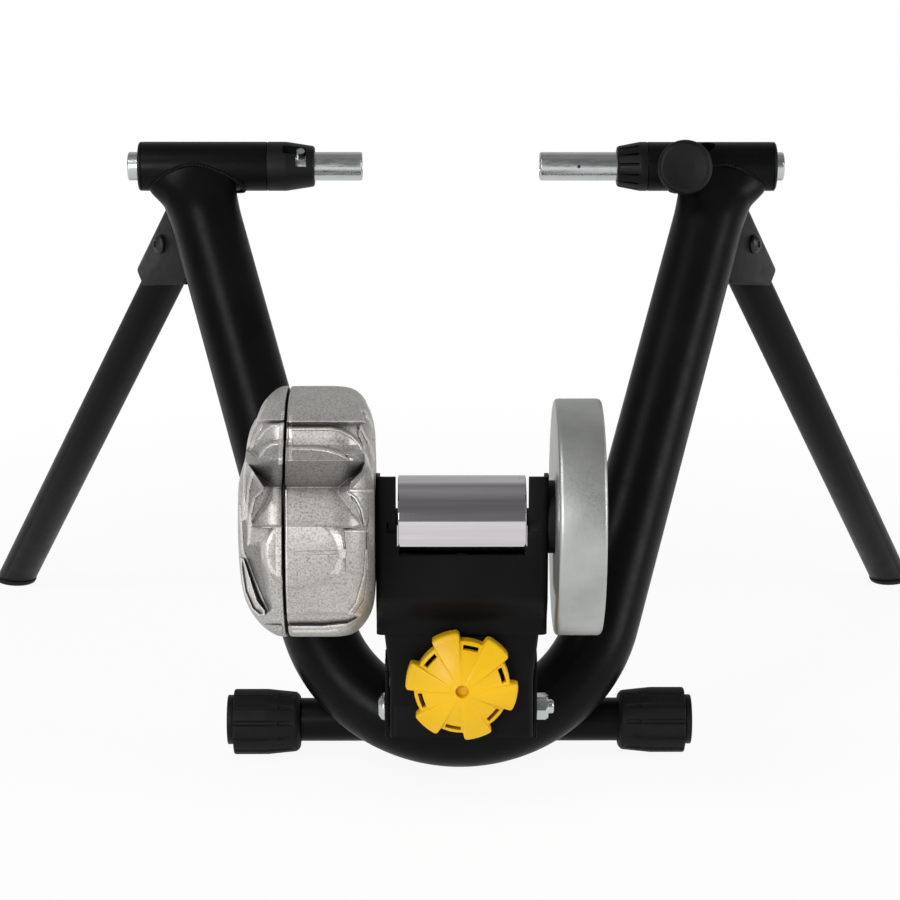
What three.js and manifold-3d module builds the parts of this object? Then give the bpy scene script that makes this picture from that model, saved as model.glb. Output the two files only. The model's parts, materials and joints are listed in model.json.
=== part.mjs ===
// Wheel-on turbo trainer: a leaning U frame with two folding legs, axle bolts that hold a bicycle's
// rear wheel, and a tilting fluid resistance unit with its roller and flywheel.
// Millimetres, +Z up, +X to the right as seen from behind, +Y towards the bicycle's front.
import * as THREE from 'three';
import { mergeVertices } from 'three/addons/utils/BufferGeometryUtils.js';
import Module from 'manifold-3d';

const wasm = await Module();
wasm.setup();

// Running and seating gaps
const SEAT_GAP = 0.3;
const RUNNING_GAP = 0.4;
const CUT_OVERRUN = 2;
const WELD_DISTANCE = 0.001;
const NUT_BORE_SIDES = 10;
const ARC_STEPS = 4;
const SMALL_SIDES = 10;
const MEDIUM_SIDES = 12;
const LARGE_SIDES = 14;

// U frame
const AXLE_HEIGHT = 410;
const FRAME_LEAN = THREE.MathUtils.degToRad(33);
const ARM_SPLAY = THREE.MathUtils.degToRad(15.5);
const FRAME_TUBE_RADIUS = 27;
const FRAME_TUBE_WALL = 2;
const FRAME_FLOOR_GAP = 6;
const FRAME_BEND_RADIUS = 108;
const ARM_TRIM = 8;
const PINCH_LENGTH = 44;
const PINCH_ACROSS_SHARE = 0.79;
const PINCH_ALONG_SHARE = 1.17;
const FRAME_SIDES = 16;
const FRAME_BORE_SIDES = 6;
const BEND_STEPS = 10;
const PINCH_STEPS = 3;

// Axle housings, end bushes and clamp bolts
const HOUSING_RADIUS = 19.05;
const HOUSING_WALL = 2.85;
const HOUSING_PAST_ARM = 38.2;
const HOUSING_BEFORE_ARM = 58.8;
const BUSH_LIP = 2.4;
const BUSH_LENGTH = 16;
const BUSH_BEVEL = 1.2;
const BOLT_RADIUS = 11.1;
const BOLT_BORE_RADIUS = 6;
const BOLT_CUP_RADIUS = 9.4;
const BOLT_CUP_DEPTH = 9;
const BOLT_CHAMFER = 0.9;
const LEFT_BOLT_TIP_X = 74;
const RIGHT_BOLT_TIP_X = 64;
const LEFT_BOLT_PROUD = 11;
const RIGHT_BOLT_PROUD = 9;
const BOLT_SIDES = 12;
const HOUSING_SIDES = 16;

// Left collar with its L-shaped latch window
const LEFT_COLLAR_LENGTH = 37;
const COLLAR_NOSE_RADIUS = 15.8;
const COLLAR_TAPER_LENGTH = 22;
const COLLAR_SPIGOT_LENGTH = 14;
const LATCH_TRAVEL = 10;
const LATCH_PIN_RADIUS = 3.2;
const LATCH_PIN_HEIGHT = 5.2;
const LATCH_ANGLE = THREE.MathUtils.degToRad(52);
const LATCH_DROP_ANGLE = THREE.MathUtils.degToRad(46);
const LATCH_FROM_NOSE = 10.5;
const LATCH_WINDOW_MARGIN = 0.9;

// Right collar, cam ring and lever
const RIGHT_COLLAR_LENGTH = 24;
const RIGHT_COLLAR_RIBS = 8;
const COLLAR_GROOVE_DEPTH = 1.1;
const COLLAR_GROOVE_WIDTH = 2.2;
const COLLAR_GROOVE_START = 7;
const LEVER_BEFORE_ARM = 34.8;
const LEVER_TRAVEL = 22;
const LEVER_TURN = THREE.MathUtils.degToRad(60);
const LEVER_REST = THREE.MathUtils.degToRad(6.5);
const CAM_RING_WIDTH = 15;
const CAM_NECK_DEPTH = 1;
const STEM_RADIUS = 5;
const STEM_LENGTH = 40;
const SLOT_PEGS = 8;
const LEVER_KNOB_RADIUS = 21;
const LEVER_KNOB_HEIGHT = 20;
const LEVER_KNOB_RIM = 5;
const LEVER_KNOB_NECK_RADIUS = 9;
const LEVER_KNOB_DISH = 1.6;
const SETTING_HOLE_RADIUS = 1.3;
const SETTING_HOLE_FROM_TIP = 30;

// Cross tube and levelling foot caps
const CROSS_TUBE_RADIUS = 15.875;
const CROSS_TUBE_WALL = 2;
const CROSS_TUBE_HALF = 156;
const CAP_RADIUS = 24;
const CAP_NOSE_RADIUS = 18.8;
const CAP_SHOULDER_RADIUS = 21.8;
const CAP_END_WALL = 10;
const CAP_LENGTH = 49;
const CAP_TAPER_LENGTH = 24;
const CAP_BEVEL = 2.5;
const CAP_ECCENTRIC = 2;
const CAP_TURN = THREE.MathUtils.degToRad(60);
const CAP_GROOVES = 8;
const CAP_GROOVE_DEPTH = 1.5;
const CAP_GROOVE_WIDTH = 2.8;
const CAP_DISC_RADIUS = 18.2;
const CAP_DISC_PROUD = 4.5;
const CAP_DISC_SPIGOT_RADIUS = 11;
const CAP_DISC_SPIGOT_LENGTH = 9;
const CAP_SIDES = 18;

// Folding legs
const LEG_RADIUS = 15.875;
const LEG_WALL = 1.8;
const LEG_SIDE_ANGLE = THREE.MathUtils.degToRad(28);
const LEG_OPEN_ANGLE = THREE.MathUtils.degToRad(78);
const LEG_PIVOT_DROP = 43;
const LEG_PIVOT_OFFSET = 46.5;
const LEG_SIDES = 12;
const FOOT_SOLE = 5;
const FOOT_SPIGOT_LENGTH = 26;
const LEG_BOLT_RADIUS = 4;
const LEG_BOLT_HEAD_RADIUS = 7.2;
const LEG_BOLT_HEAD_HEIGHT = 4.6;
const LEG_NUT_HEIGHT = 5;
const BRACKET_SHEET = 2.6;
const BRACKET_CORNER = 9;
const BRACKET_REACH = 47;
const BRACKET_END_DEPTH = 6;
const BRACKET_SKIRT_DEPTH = 47;
const BRACKET_TAIL = 32;
const BRACKET_WEB_GAP = 0.5;

// Pivot ears, swing bracket and their bolt
const PIVOT_BEHIND_BEND = 43.2;
const PIVOT_HEIGHT = 65;
const ROD_RISE = 29.5;
const EAR_SHEET = 3;
const EAR_FRONT_REACH = 14;
const EAR_TOP_RADIUS = 12;
const EAR_BOTTOM_DROP = 19;
const EAR_TAIL = 52;
const SWING_SHEET = 3;
const SWING_HALF_WIDTH = 49.6;
const SWING_TOP_HALF_WIDTH = 53;
const SWING_FRONT_REACH = 30;
const SWING_TOP_RISE = 88;
const SWING_STEP_RISE = 60;
const SWING_WAIST_RISE = 30;
const SWING_BOTTOM_DROP = 11.5;
const SWING_FOLD_RISE = 11;
const SWING_KICK = 4;
const FLANGE_TOP_RISE = 24;
const FLANGE_BOSS_RADIUS = 14;
const PIVOT_BOLT_RADIUS = 5;
const PIVOT_HEAD_RADIUS = 9.6;
const PIVOT_HEAD_HEIGHT = 6.4;
const PIVOT_NUT_HEIGHT = 8;
const PIVOT_BOLT_TAIL = 4;
const SPACER_RADIUS = 8;

// Tension screw
const ROD_RADIUS = 5;
const ROD_HOLE_RADIUS = 6.4;
const ROD_TAIL = 30;
const BARREL_RADIUS = 8;
const BARREL_JOURNAL_RADIUS = 5.5;
const BARREL_BORE_RADIUS = 6;
const KNOB_PLATE_THICKNESS = 4;
const KNOB_PLATE_HALF_WIDTH = 16;
const KNOB_PLATE_RISE = 32;
const KNOB_PLATE_DROP = 16;
const KNOB_RADIUS = 33;
const KNOB_LOBE_RADIUS = 38.6;
const KNOB_LOBES = 6;
const KNOB_LOBE_WIDTH = THREE.MathUtils.degToRad(31);
const KNOB_PHASE = THREE.MathUtils.degToRad(108);
const KNOB_DOME = 17;
const KNOB_RIM_DEPTH = 9;
const KNOB_WALL = 3.2;
const KNOB_HUB_RADIUS = 10;
const KNOB_HUB_DEPTH = 3;
const KNOB_EYE_RADIUS = 4.4;
const KNOB_EYE_DEPTH = 6;
const KNOB_SLOT_LENGTH = 10.4;
const KNOB_SLOT_WIDTH = 3.2;
const KNOB_SLOT_RADIUS = 28.5;
const KNOB_SIDES = 16;

// Yoke and roller
const ROLLER_BEHIND_PIVOT = 20;
const ROLLER_HEIGHT = 208;
const ROLLER_RADIUS = 28.575;
const ROLLER_HALF_LENGTH = 43.6;
const ROLLER_SIDES = 22;
const ROLLER_SHELL = 3.5;
const ROLLER_RECESS = 9;
const ROLLER_HUB_RADIUS = 11;
const YOKE_SHEET = 3;
const YOKE_HALF_WIDTH = 58.5;
const YOKE_FRONT_REACH = 26;
const YOKE_BACK_REACH = 20;
const YOKE_TOP_RISE = 34;
const YOKE_LIP_DROP = 20.5;
const YOKE_FOLD_DROP = 51;
const YOKE_LAP_DROP = 69;
const YOKE_BOTTOM_DROP = 80.5;
const YOKE_WINDOW_GAP = 1.2;
const YOKE_NOTCH_DEPTH = 6.5;
const YOKE_NOTCH_HALF_HEIGHT = 4.2;
const YOKE_EAR_RADIUS = 22;
const YOKE_NUT_X = 34;
const YOKE_NUT_RADIUS = 6.4;
const YOKE_NUT_HEIGHT = 5;
const YOKE_STUD_RADIUS = 3;
const SHAFT_RADIUS = 6;
const BEARING_RADIUS = 14;
const BEARING_HALF_WIDTH = 4.5;
const BEARING_GROOVE = 0.8;

// Flywheel
const FLYWHEEL_RADIUS = 81;
const FLYWHEEL_INNER_X = 63;
const FLYWHEEL_WIDTH = 32;
const FLYWHEEL_ROUND = 4;
const FLYWHEEL_RIM = 19;
const FLYWHEEL_RECESS = 9;
const FLYWHEEL_HUB_RADIUS = 20;
const FLYWHEEL_SIDES = 26;
const FLYWHEEL_NUT_HEIGHT = 8;
const FLYWHEEL_NUT_RADIUS = 11;

// Fluid resistance unit
const UNIT_RADIUS = 84.4;
const UNIT_RIGHT_X = 59;
const UNIT_PART_X = 119.4;
const UNIT_LEFT_X = 152;
const UNIT_GASKET = 1;
const UNIT_WALL = 5;
const UNIT_CAVITY_SHARE = 0.86;
const UNIT_BOSS_RADIUS = 17;
const UNIT_SIDES = 20;
const UNIT_FIN_PROUD = 6.5;
const UNIT_BROW_PROUD = 9;
const UNIT_FIN_THICKNESS = 4.5;
const UNIT_FIN_SLOPE = THREE.MathUtils.degToRad(38);
const UNIT_FIN_RISES_SHARES = [0.71, 0.52, 0.33, 0.13];
const UNIT_VALLEY_ANGLE = THREE.MathUtils.degToRad(27);
const UNIT_VALLEY_DEPTH = 13;
const UNIT_VALLEY_SPREAD = THREE.MathUtils.degToRad(15);
const UNIT_TOP_PROUD = 4.6;
const UNIT_TOP_RISE_SHARE = 0.87;
const UNIT_DRUM_RADIUS = 27;
const UNIT_DRUM_PROUD = 3.6;
const UNIT_DRUM_ANGLE = THREE.MathUtils.degToRad(-5);
const UNIT_VANES = 8;
const UNIT_VANE_THICKNESS = 2.2;
const UNIT_VANE_PROUD = 5;
const SEAL_RADIUS = 12;
const SEAL_WIDTH = 6;
const IMPELLER_RIM_GAP = 6.3;
const IMPELLER_DISC = 4;
const IMPELLER_BLADES = 6;
const IMPELLER_BLADE_DEPTH = 13;
const IMPELLER_BLADE_THICKNESS = 3;
const IMPELLER_HUB_RADIUS = 13;
const UNIT_SCREWS = 4;
const UNIT_SCREW_RADIUS = 2.5;
const UNIT_SCREW_HEAD_RADIUS = 4.6;
const UNIT_SCREW_HEAD_HEIGHT = 4;
const UNIT_SCREW_RING_SHARE = 0.85;
const UNIT_SCREW_SEAT = 11;
const UNIT_SCREW_GRIP = 4;

// Directions and points that the sizes fix
const X_AXIS = new THREE.Vector3(1, 0, 0);
const Y_AXIS = new THREE.Vector3(0, 1, 0);
const Z_AXIS = new THREE.Vector3(0, 0, 1);
const PLANE_DOWN = new THREE.Vector3(0, -Math.sin(FRAME_LEAN), -Math.cos(FRAME_LEAN));
const PLANE_BACK = new THREE.Vector3(0, Math.cos(FRAME_LEAN), -Math.sin(FRAME_LEAN));
const AXLE_CENTRE = new THREE.Vector3(0, 0, AXLE_HEIGHT);
const FRAME_DROP = (AXLE_HEIGHT - FRAME_TUBE_RADIUS - FRAME_FLOOR_GAP) / Math.cos(FRAME_LEAN);
const BEND_HALF_ANGLE = Math.PI / 2 - ARM_SPLAY;
const BEND_CENTRE_DROP = FRAME_DROP - FRAME_BEND_RADIUS;
const ARM_FOOT_X = FRAME_BEND_RADIUS * Math.sin(BEND_HALF_ANGLE);
const ARM_FOOT_DROP = BEND_CENTRE_DROP + FRAME_BEND_RADIUS * Math.cos(BEND_HALF_ANGLE);
const ARM_TOP_X = ARM_FOOT_X + ARM_FOOT_DROP * Math.tan(ARM_SPLAY);
const HOUSING_OUTER_X = ARM_TOP_X + HOUSING_PAST_ARM;
const HOUSING_INNER_X = ARM_TOP_X - HOUSING_BEFORE_ARM;
const LEFT_BOLT_END_X = HOUSING_OUTER_X + LEFT_BOLT_PROUD;
const RIGHT_BOLT_END_X = HOUSING_OUTER_X + RIGHT_BOLT_PROUD;
const LEVER_X = ARM_TOP_X - LEVER_BEFORE_ARM;
const CAP_OUTER_X = CROSS_TUBE_HALF + CAP_END_WALL;
const CAP_INNER_X = CAP_OUTER_X - CAP_LENGTH;
const BEND_BEHIND_AXLE = FRAME_DROP * Math.sin(FRAME_LEAN);
const PIVOT_BEHIND_AXLE = BEND_BEHIND_AXLE + PIVOT_BEHIND_BEND;
const ROLLER_BEHIND_AXLE = PIVOT_BEHIND_AXLE + ROLLER_BEHIND_PIVOT;
const IMPELLER_RADIUS = (UNIT_RADIUS - UNIT_WALL) * UNIT_CAVITY_SHARE - IMPELLER_RIM_GAP;
const CROSS_TUBE_HEIGHT = CAP_RADIUS + CAP_ECCENTRIC * Math.cos(CAP_TURN);
const CROSS_TUBE_APART = FRAME_TUBE_RADIUS + CROSS_TUBE_RADIUS + SEAT_GAP;
const CROSS_TUBE_Y = crossTubeY();
const LATCH_X = -(HOUSING_INNER_X - LEFT_COLLAR_LENGTH + LATCH_FROM_NOSE);

// A point of the U frame's middle plane, by its distance across and down from the axle line
function inFramePlane(across, drop) {
  return AXLE_CENTRE.clone().addScaledVector(X_AXIS, across).addScaledVector(PLANE_DOWN, drop);
}

// Arm direction, away from the axle line, on the side -1 (left) or +1 (right)
function armDown(side) {
  const down = PLANE_DOWN.clone().multiplyScalar(Math.cos(ARM_SPLAY));
  return down.addScaledVector(X_AXIS, -side * Math.sin(ARM_SPLAY));
}

// The nearest place behind the bend where the cross tube clears the U tube's whole curve
function crossTubeY() {
  const places = Array.from({ length: BEND_STEPS * 2 + 1 }, (_, step) => {
    const angle = (BEND_HALF_ANGLE * step) / (BEND_STEPS * 2);
    const centre = inFramePlane(0, BEND_CENTRE_DROP + FRAME_BEND_RADIUS * Math.cos(angle));
    const rise = centre.z - CROSS_TUBE_HEIGHT;
    const out = CROSS_TUBE_APART ** 2 - rise ** 2;
    return out > 0 ? centre.y + Math.sqrt(out) : -Infinity;
  });
  return Math.max(...places);
}

// Mesh helpers: weld to one closed body that faces out
function weld(geometry) {
  const bare = new THREE.BufferGeometry();
  bare.setAttribute('position', geometry.getAttribute('position').clone());
  if (geometry.index) {
    bare.setIndex(geometry.index.clone());
  }
  const merged = mergeVertices(bare, WELD_DISTANCE);
  const points = merged.getAttribute('position');
  const kept = [];
  let volume = 0;
  const corner = [new THREE.Vector3(), new THREE.Vector3(), new THREE.Vector3()];
  for (let at = 0; at < merged.index.count; at += 3) {
    const trio = [0, 1, 2].map((step) => merged.index.getX(at + step));
    if (trio[0] === trio[1] || trio[1] === trio[2] || trio[2] === trio[0]) {
      continue;
    }
    kept.push(...trio);
    trio.forEach((index, place) => corner[place].fromBufferAttribute(points, index));
    volume += corner[0].dot(corner[1].clone().cross(corner[2]));
  }
  if (volume < 0) {
    kept.reverse();
  }
  merged.setIndex(kept);
  return merged;
}

function toSolid(geometry) {
  const welded = weld(geometry);
  const vertProperties = new Float32Array(welded.getAttribute('position').array);
  const triVerts = new Uint32Array(welded.index.array);
  return new wasm.Manifold(new wasm.Mesh({ numProp: 3, vertProperties, triVerts }));
}

function fromSolid(solid) {
  const mesh = solid.getMesh();
  const geometry = new THREE.BufferGeometry();
  geometry.setAttribute('position', new THREE.BufferAttribute(new Float32Array(mesh.vertProperties), 3));
  geometry.setIndex(new THREE.BufferAttribute(new Uint32Array(mesh.triVerts), 1));
  return geometry;
}

// The largest body of a solid that a cut left in more than one
function largestBody(solid) {
  const bodies = solid.decompose().sort((a, b) => b.volume() - a.volume());
  return fromSolid(bodies[0]);
}

function cut(base, ...tools) {
  return fromSolid(tools.reduce((solid, tool) => solid.subtract(toSolid(tool)), toSolid(base)));
}

function join(base, ...others) {
  return fromSolid(others.reduce((solid, other) => solid.add(toSolid(other)), toSolid(base)));
}

function common(base, other) {
  return fromSolid(toSolid(base).intersect(toSolid(other)));
}

// Shapes and solids
function circlePoints(radius, sides) {
  return Array.from({ length: sides }, (_, step) => {
    const angle = (2 * Math.PI * step) / sides;
    return new THREE.Vector2(radius * Math.cos(angle), radius * Math.sin(angle));
  });
}

function pipeSection(outer, inner) {
  const shape = new THREE.Shape(circlePoints(outer, FRAME_SIDES));
  if (inner > 0) {
    shape.holes.push(new THREE.Path(circlePoints(inner, FRAME_BORE_SIDES)));
  }
  return shape;
}

// A body of revolution about the X axis, from pairs of radius and place along X
function turned(profile, sides) {
  const points = profile.map(([radius, along]) => new THREE.Vector2(radius, along));
  const closes = profile[0][0] === 0 && profile[profile.length - 1][0] === 0;
  if (!closes) {
    points.push(points[0].clone());
  }
  const geometry = new THREE.LatheGeometry(points, sides);
  geometry.rotateZ(-Math.PI / 2);
  return weld(geometry);
}

function pin(radius, from, to, sides) {
  return turned([[0, from], [radius, from], [radius, to], [0, to]], sides);
}

function pipe(outer, inner, from, to, sides) {
  return turned([[inner, from], [outer, from], [outer, to], [inner, to]], sides);
}

function extruded(shape, depth, xDirection, yDirection, origin) {
  const geometry = new THREE.ExtrudeGeometry(shape, { depth, bevelEnabled: false, curveSegments: ARC_STEPS });
  const zDirection = xDirection.clone().cross(yDirection);
  const basis = new THREE.Matrix4().makeBasis(xDirection, yDirection, zDirection).setPosition(origin);
  return weld(geometry.applyMatrix4(basis));
}

// A plate drawn in Y and Z, from one X to another
function sidePlate(shape, fromX, toX) {
  return extruded(shape, toX - fromX, Y_AXIS, Z_AXIS, new THREE.Vector3(fromX, 0, 0));
}

// A plate drawn in X and Z, from a far Y to a near Y
function frontPlate(shape, farY, nearY) {
  return extruded(shape, farY - nearY, X_AXIS, Z_AXIS, new THREE.Vector3(0, farY, 0));
}

function outline(points) {
  return new THREE.Shape(points.map(([x, y]) => new THREE.Vector2(x, y)));
}

function block(lowX, highX, lowY, highY, lowZ, highZ) {
  const geometry = new THREE.BoxGeometry(highX - lowX, highY - lowY, highZ - lowZ);
  return geometry.translate((lowX + highX) / 2, (lowY + highY) / 2, (lowZ + highZ) / 2);
}

// A sector of a ring about the X axis; angles run from -Y towards +Z
function sector(inner, outer, fromAngle, toAngle, fromX, toX) {
  const shape = new THREE.Shape();
  const place = (radius, angle) => [-radius * Math.cos(angle), radius * Math.sin(angle)];
  const steps = 8;
  const angles = Array.from({ length: steps + 1 }, (_, n) => fromAngle + ((toAngle - fromAngle) * n) / steps);
  const there = angles.map((angle) => place(outer, angle));
  const back = angles.reverse().map((angle) => place(inner, angle));
  const points = [...there, ...back];
  shape.setFromPoints(points.map(([y, z]) => new THREE.Vector2(y, z)));
  return sidePlate(shape, fromX, toX);
}

// A pin that stands out from the X axis, at an angle from -Y towards +Z
function radialPin(radius, fromRadius, toRadius, atX, angle, sides) {
  const geometry = pin(radius, fromRadius, toRadius, sides);
  geometry.rotateZ(-Math.PI / 2);
  geometry.rotateX(-angle);
  return geometry.translate(atX, 0, 0);
}

// A hexagon nut about the X axis
function hexNut(radius, bore, fromX, toX) {
  const shape = new THREE.Shape(circlePoints(radius, 6));
  shape.holes.push(new THREE.Path(circlePoints(bore, NUT_BORE_SIDES)));
  return sidePlate(shape, Math.min(fromX, toX), Math.max(fromX, toX));
}

// A curve that visits chosen stations, so straight runs need no steps
class StationCurve extends THREE.Curve {
  constructor(stations) {
    super();
    this.stations = stations;
  }

  station(share) {
    return this.stations[Math.round(share * (this.stations.length - 1))];
  }

  getPoint(share) {
    return this.station(share).point.clone();
  }

  getPointAt(share) {
    return this.getPoint(share);
  }

  getTangent(share) {
    return this.station(share).tangent.clone();
  }

  getTangentAt(share) {
    return this.getTangent(share);
  }
}

const assembly = new THREE.Group();

function finish(color, roughness, metalness) {
  return new THREE.MeshStandardMaterial({ color, roughness, metalness, flatShading: true });
}

const FRAME_BLACK = () => finish(0x1f1e1e, 0.42, 0.1);
const BRACKET_BLACK = () => finish(0x242323, 0.5, 0.1);
const PLASTIC_BLACK = () => finish(0x171717, 0.6, 0);
const RUBBER_BLACK = () => finish(0x131313, 0.85, 0);
const ZINC = () => finish(0xb9bbb8, 0.3, 0.9);
const STEEL_DARK = () => finish(0x4c4b4a, 0.4, 0.8);
const CHROME = () => finish(0xd5d4d8, 0.08, 1);
const CAST_ALUMINIUM = () => finish(0xb9b6b0, 0.55, 0.7);
const CAST_IRON = () => finish(0x8f9494, 0.55, 0.6);
const KNOB_YELLOW = () => finish(0xf2c117, 0.35, 0);

function piece(parent, name, geometry, material) {
  const welded = weld(geometry);
  welded.computeVertexNormals();
  const mesh = new THREE.Mesh(welded, material);
  mesh.name = name;
  parent.add(mesh);
  return mesh;
}

function groupAt(parent, place) {
  const group = new THREE.Group();
  group.position.copy(place);
  parent.add(group);
  return group;
}

// U frame: one bent tube whose mouths are squeezed to hug the axle housings
function frameStations() {
  const stations = [];
  const armStations = (side) => {
    const trimmed = ARM_TRIM / Math.cos(ARM_SPLAY);
    const top = inFramePlane(side * ARM_TOP_X, 0);
    const down = armDown(side);
    const tangent = side < 0 ? down : down.clone().negate();
    const run = [];
    for (let step = 0; step <= PINCH_STEPS; step += 1) {
      const along = trimmed + (PINCH_LENGTH * step) / PINCH_STEPS;
      run.push({ point: top.clone().addScaledVector(down, along), tangent: tangent.clone() });
    }
    return side < 0 ? run : run.reverse();
  };
  stations.push(...armStations(-1));
  for (let step = 0; step <= BEND_STEPS; step += 1) {
    const angle = -BEND_HALF_ANGLE + (2 * BEND_HALF_ANGLE * step) / BEND_STEPS;
    const across = FRAME_BEND_RADIUS * Math.sin(angle);
    const drop = BEND_CENTRE_DROP + FRAME_BEND_RADIUS * Math.cos(angle);
    const tangent = X_AXIS.clone().multiplyScalar(Math.cos(angle));
    tangent.addScaledVector(PLANE_DOWN, -Math.sin(angle));
    stations.push({ point: inFramePlane(across, drop), tangent });
  }
  stations.push(...armStations(1));
  return stations;
}

function frameSweep(outer, inner) {
  const curve = new StationCurve(frameStations());
  const steps = curve.stations.length - 1;
  const section = pipeSection(outer, inner);
  return weld(new THREE.ExtrudeGeometry(section, { steps, bevelEnabled: false, extrudePath: curve }));
}

function pinchMouths(geometry) {
  const points = geometry.getAttribute('position');
  const point = new THREE.Vector3();
  for (let index = 0; index < points.count; index += 1) {
    point.fromBufferAttribute(points, index);
    const side = Math.sign(point.x);
    const down = armDown(side);
    const offset = point.clone().sub(inFramePlane(side * ARM_TOP_X, 0));
    const along = offset.dot(down) * Math.cos(ARM_SPLAY);
    const open = Math.min(Math.max((along - ARM_TRIM) / PINCH_LENGTH, 0), 1);
    const squeeze = 1 - open * open * (3 - 2 * open);
    const across = offset.dot(PLANE_BACK);
    point.addScaledVector(PLANE_BACK, across * squeeze * (PINCH_ACROSS_SHARE - 1));
    const sideways = PLANE_BACK.clone().cross(down);
    point.addScaledVector(sideways, offset.dot(sideways) * squeeze * (PINCH_ALONG_SHARE - 1));
    points.setXYZ(index, point.x, point.y, point.z);
  }
  return geometry;
}

function uFrame() {
  const tube = pinchMouths(frameSweep(FRAME_TUBE_RADIUS, FRAME_TUBE_RADIUS - FRAME_TUBE_WALL));
  const cope = pin(HOUSING_RADIUS + SEAT_GAP, -HOUSING_OUTER_X * 2, HOUSING_OUTER_X * 2, HOUSING_SIDES);
  return cut(tube, cope.translate(0, 0, AXLE_HEIGHT));
}

// Axle housings and what turns or slides in them, all about the axle line
function housing(side) {
  const tube = pipe(
    HOUSING_RADIUS, HOUSING_RADIUS - HOUSING_WALL, side * HOUSING_INNER_X, side * HOUSING_OUTER_X, HOUSING_SIDES,
  );
  return side > 0 ? cut(tube, ...leverSlot()) : tube;
}

// The lever's helical slot: a row of overlapping pegs that turns and travels with the lever
function leverSlot() {
  return Array.from({ length: SLOT_PEGS }, (_, step) => {
    const share = step / (SLOT_PEGS - 1);
    const atX = LEVER_X + LEVER_TRAVEL * share;
    const angle = LEVER_REST + LEVER_TURN * share;
    const inner = HOUSING_RADIUS - HOUSING_WALL - CUT_OVERRUN;
    const outer = HOUSING_RADIUS + CUT_OVERRUN;
    return radialPin(STEM_RADIUS + 2 * RUNNING_GAP, inner, outer, atX, angle, SMALL_SIDES);
  });
}

function endBush(side) {
  const inner = BOLT_RADIUS + RUNNING_GAP;
  const spigot = HOUSING_RADIUS - HOUSING_WALL - SEAT_GAP;
  const face = side * (HOUSING_OUTER_X + SEAT_GAP);
  return turned([
    [inner, face - side * BUSH_LENGTH],
    [spigot, face - side * BUSH_LENGTH],
    [spigot, face],
    [HOUSING_RADIUS, face],
    [HOUSING_RADIUS, face + side * (BUSH_LIP - BUSH_BEVEL)],
    [HOUSING_RADIUS - BUSH_BEVEL, face + side * BUSH_LIP],
    [inner, face + side * BUSH_LIP],
  ], HOUSING_SIDES);
}

// A stepped collar at a housing's inner end, tapering to its nose
function collarBody(side, length) {
  const inner = BOLT_RADIUS + RUNNING_GAP;
  const spigot = HOUSING_RADIUS - HOUSING_WALL - SEAT_GAP;
  const face = side * (HOUSING_INNER_X - SEAT_GAP);
  const nose = side * (HOUSING_INNER_X - length);
  const taper = nose + side * Math.min(COLLAR_TAPER_LENGTH, length * 0.75);
  return turned([
    [inner, nose],
    [COLLAR_NOSE_RADIUS - BUSH_BEVEL, nose],
    [COLLAR_NOSE_RADIUS, nose + side * BUSH_BEVEL],
    [HOUSING_RADIUS, taper],
    [HOUSING_RADIUS, face],
    [spigot, face],
    [spigot, face + side * COLLAR_SPIGOT_LENGTH],
    [inner, face + side * COLLAR_SPIGOT_LENGTH],
  ], HOUSING_SIDES);
}

function leftCollar() {
  const reach = [BOLT_RADIUS - CUT_OVERRUN, HOUSING_RADIUS + CUT_OVERRUN];
  const half = LATCH_PIN_RADIUS + LATCH_WINDOW_MARGIN;
  const lengthwise = block(LATCH_X - LATCH_TRAVEL - half, LATCH_X + half, -half, half, ...reach);
  lengthwise.rotateX(Math.PI / 2 - LATCH_ANGLE);
  const around = sector(
    ...reach, LATCH_ANGLE - LATCH_DROP_ANGLE, LATCH_ANGLE, LATCH_X - half, LATCH_X + half,
  );
  return cut(collarBody(-1, LEFT_COLLAR_LENGTH), lengthwise, around);
}

function latchPin() {
  const base = BOLT_RADIUS + SEAT_GAP;
  return radialPin(LATCH_PIN_RADIUS, base, base + LATCH_PIN_HEIGHT, LATCH_X, LATCH_ANGLE, SMALL_SIDES);
}

function rightCollar() {
  const nose = HOUSING_INNER_X - RIGHT_COLLAR_LENGTH;
  const face = HOUSING_INNER_X - SEAT_GAP;
  const grooves = Array.from({ length: RIGHT_COLLAR_RIBS }, (_, step) => {
    const groove = block(
      nose - CUT_OVERRUN, face - COLLAR_GROOVE_START, -COLLAR_GROOVE_WIDTH / 2, COLLAR_GROOVE_WIDTH / 2,
      COLLAR_NOSE_RADIUS - COLLAR_GROOVE_DEPTH, HOUSING_RADIUS + CUT_OVERRUN,
    );
    return groove.rotateX((2 * Math.PI * step) / RIGHT_COLLAR_RIBS);
  });
  return cut(collarBody(1, RIGHT_COLLAR_LENGTH), ...grooves);
}

// A clamp bolt: a hollow steel bar with a cupped tip for the hub's skewer end
function clampBolt(side, tipX, endX, neck) {
  const tip = side * tipX;
  const end = side * endX;
  const profile = [
    [BOLT_BORE_RADIUS, tip + side * BOLT_CUP_DEPTH],
    [BOLT_CUP_RADIUS, tip],
    [BOLT_RADIUS - BOLT_CHAMFER, tip],
    [BOLT_RADIUS, tip + side * BOLT_CHAMFER],
    ...neck,
    [BOLT_RADIUS, end - side * BOLT_CHAMFER],
    [BOLT_RADIUS - BOLT_CHAMFER, end],
    [BOLT_BORE_RADIUS, end],
  ];
  return turned(profile, BOLT_SIDES);
}

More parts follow.
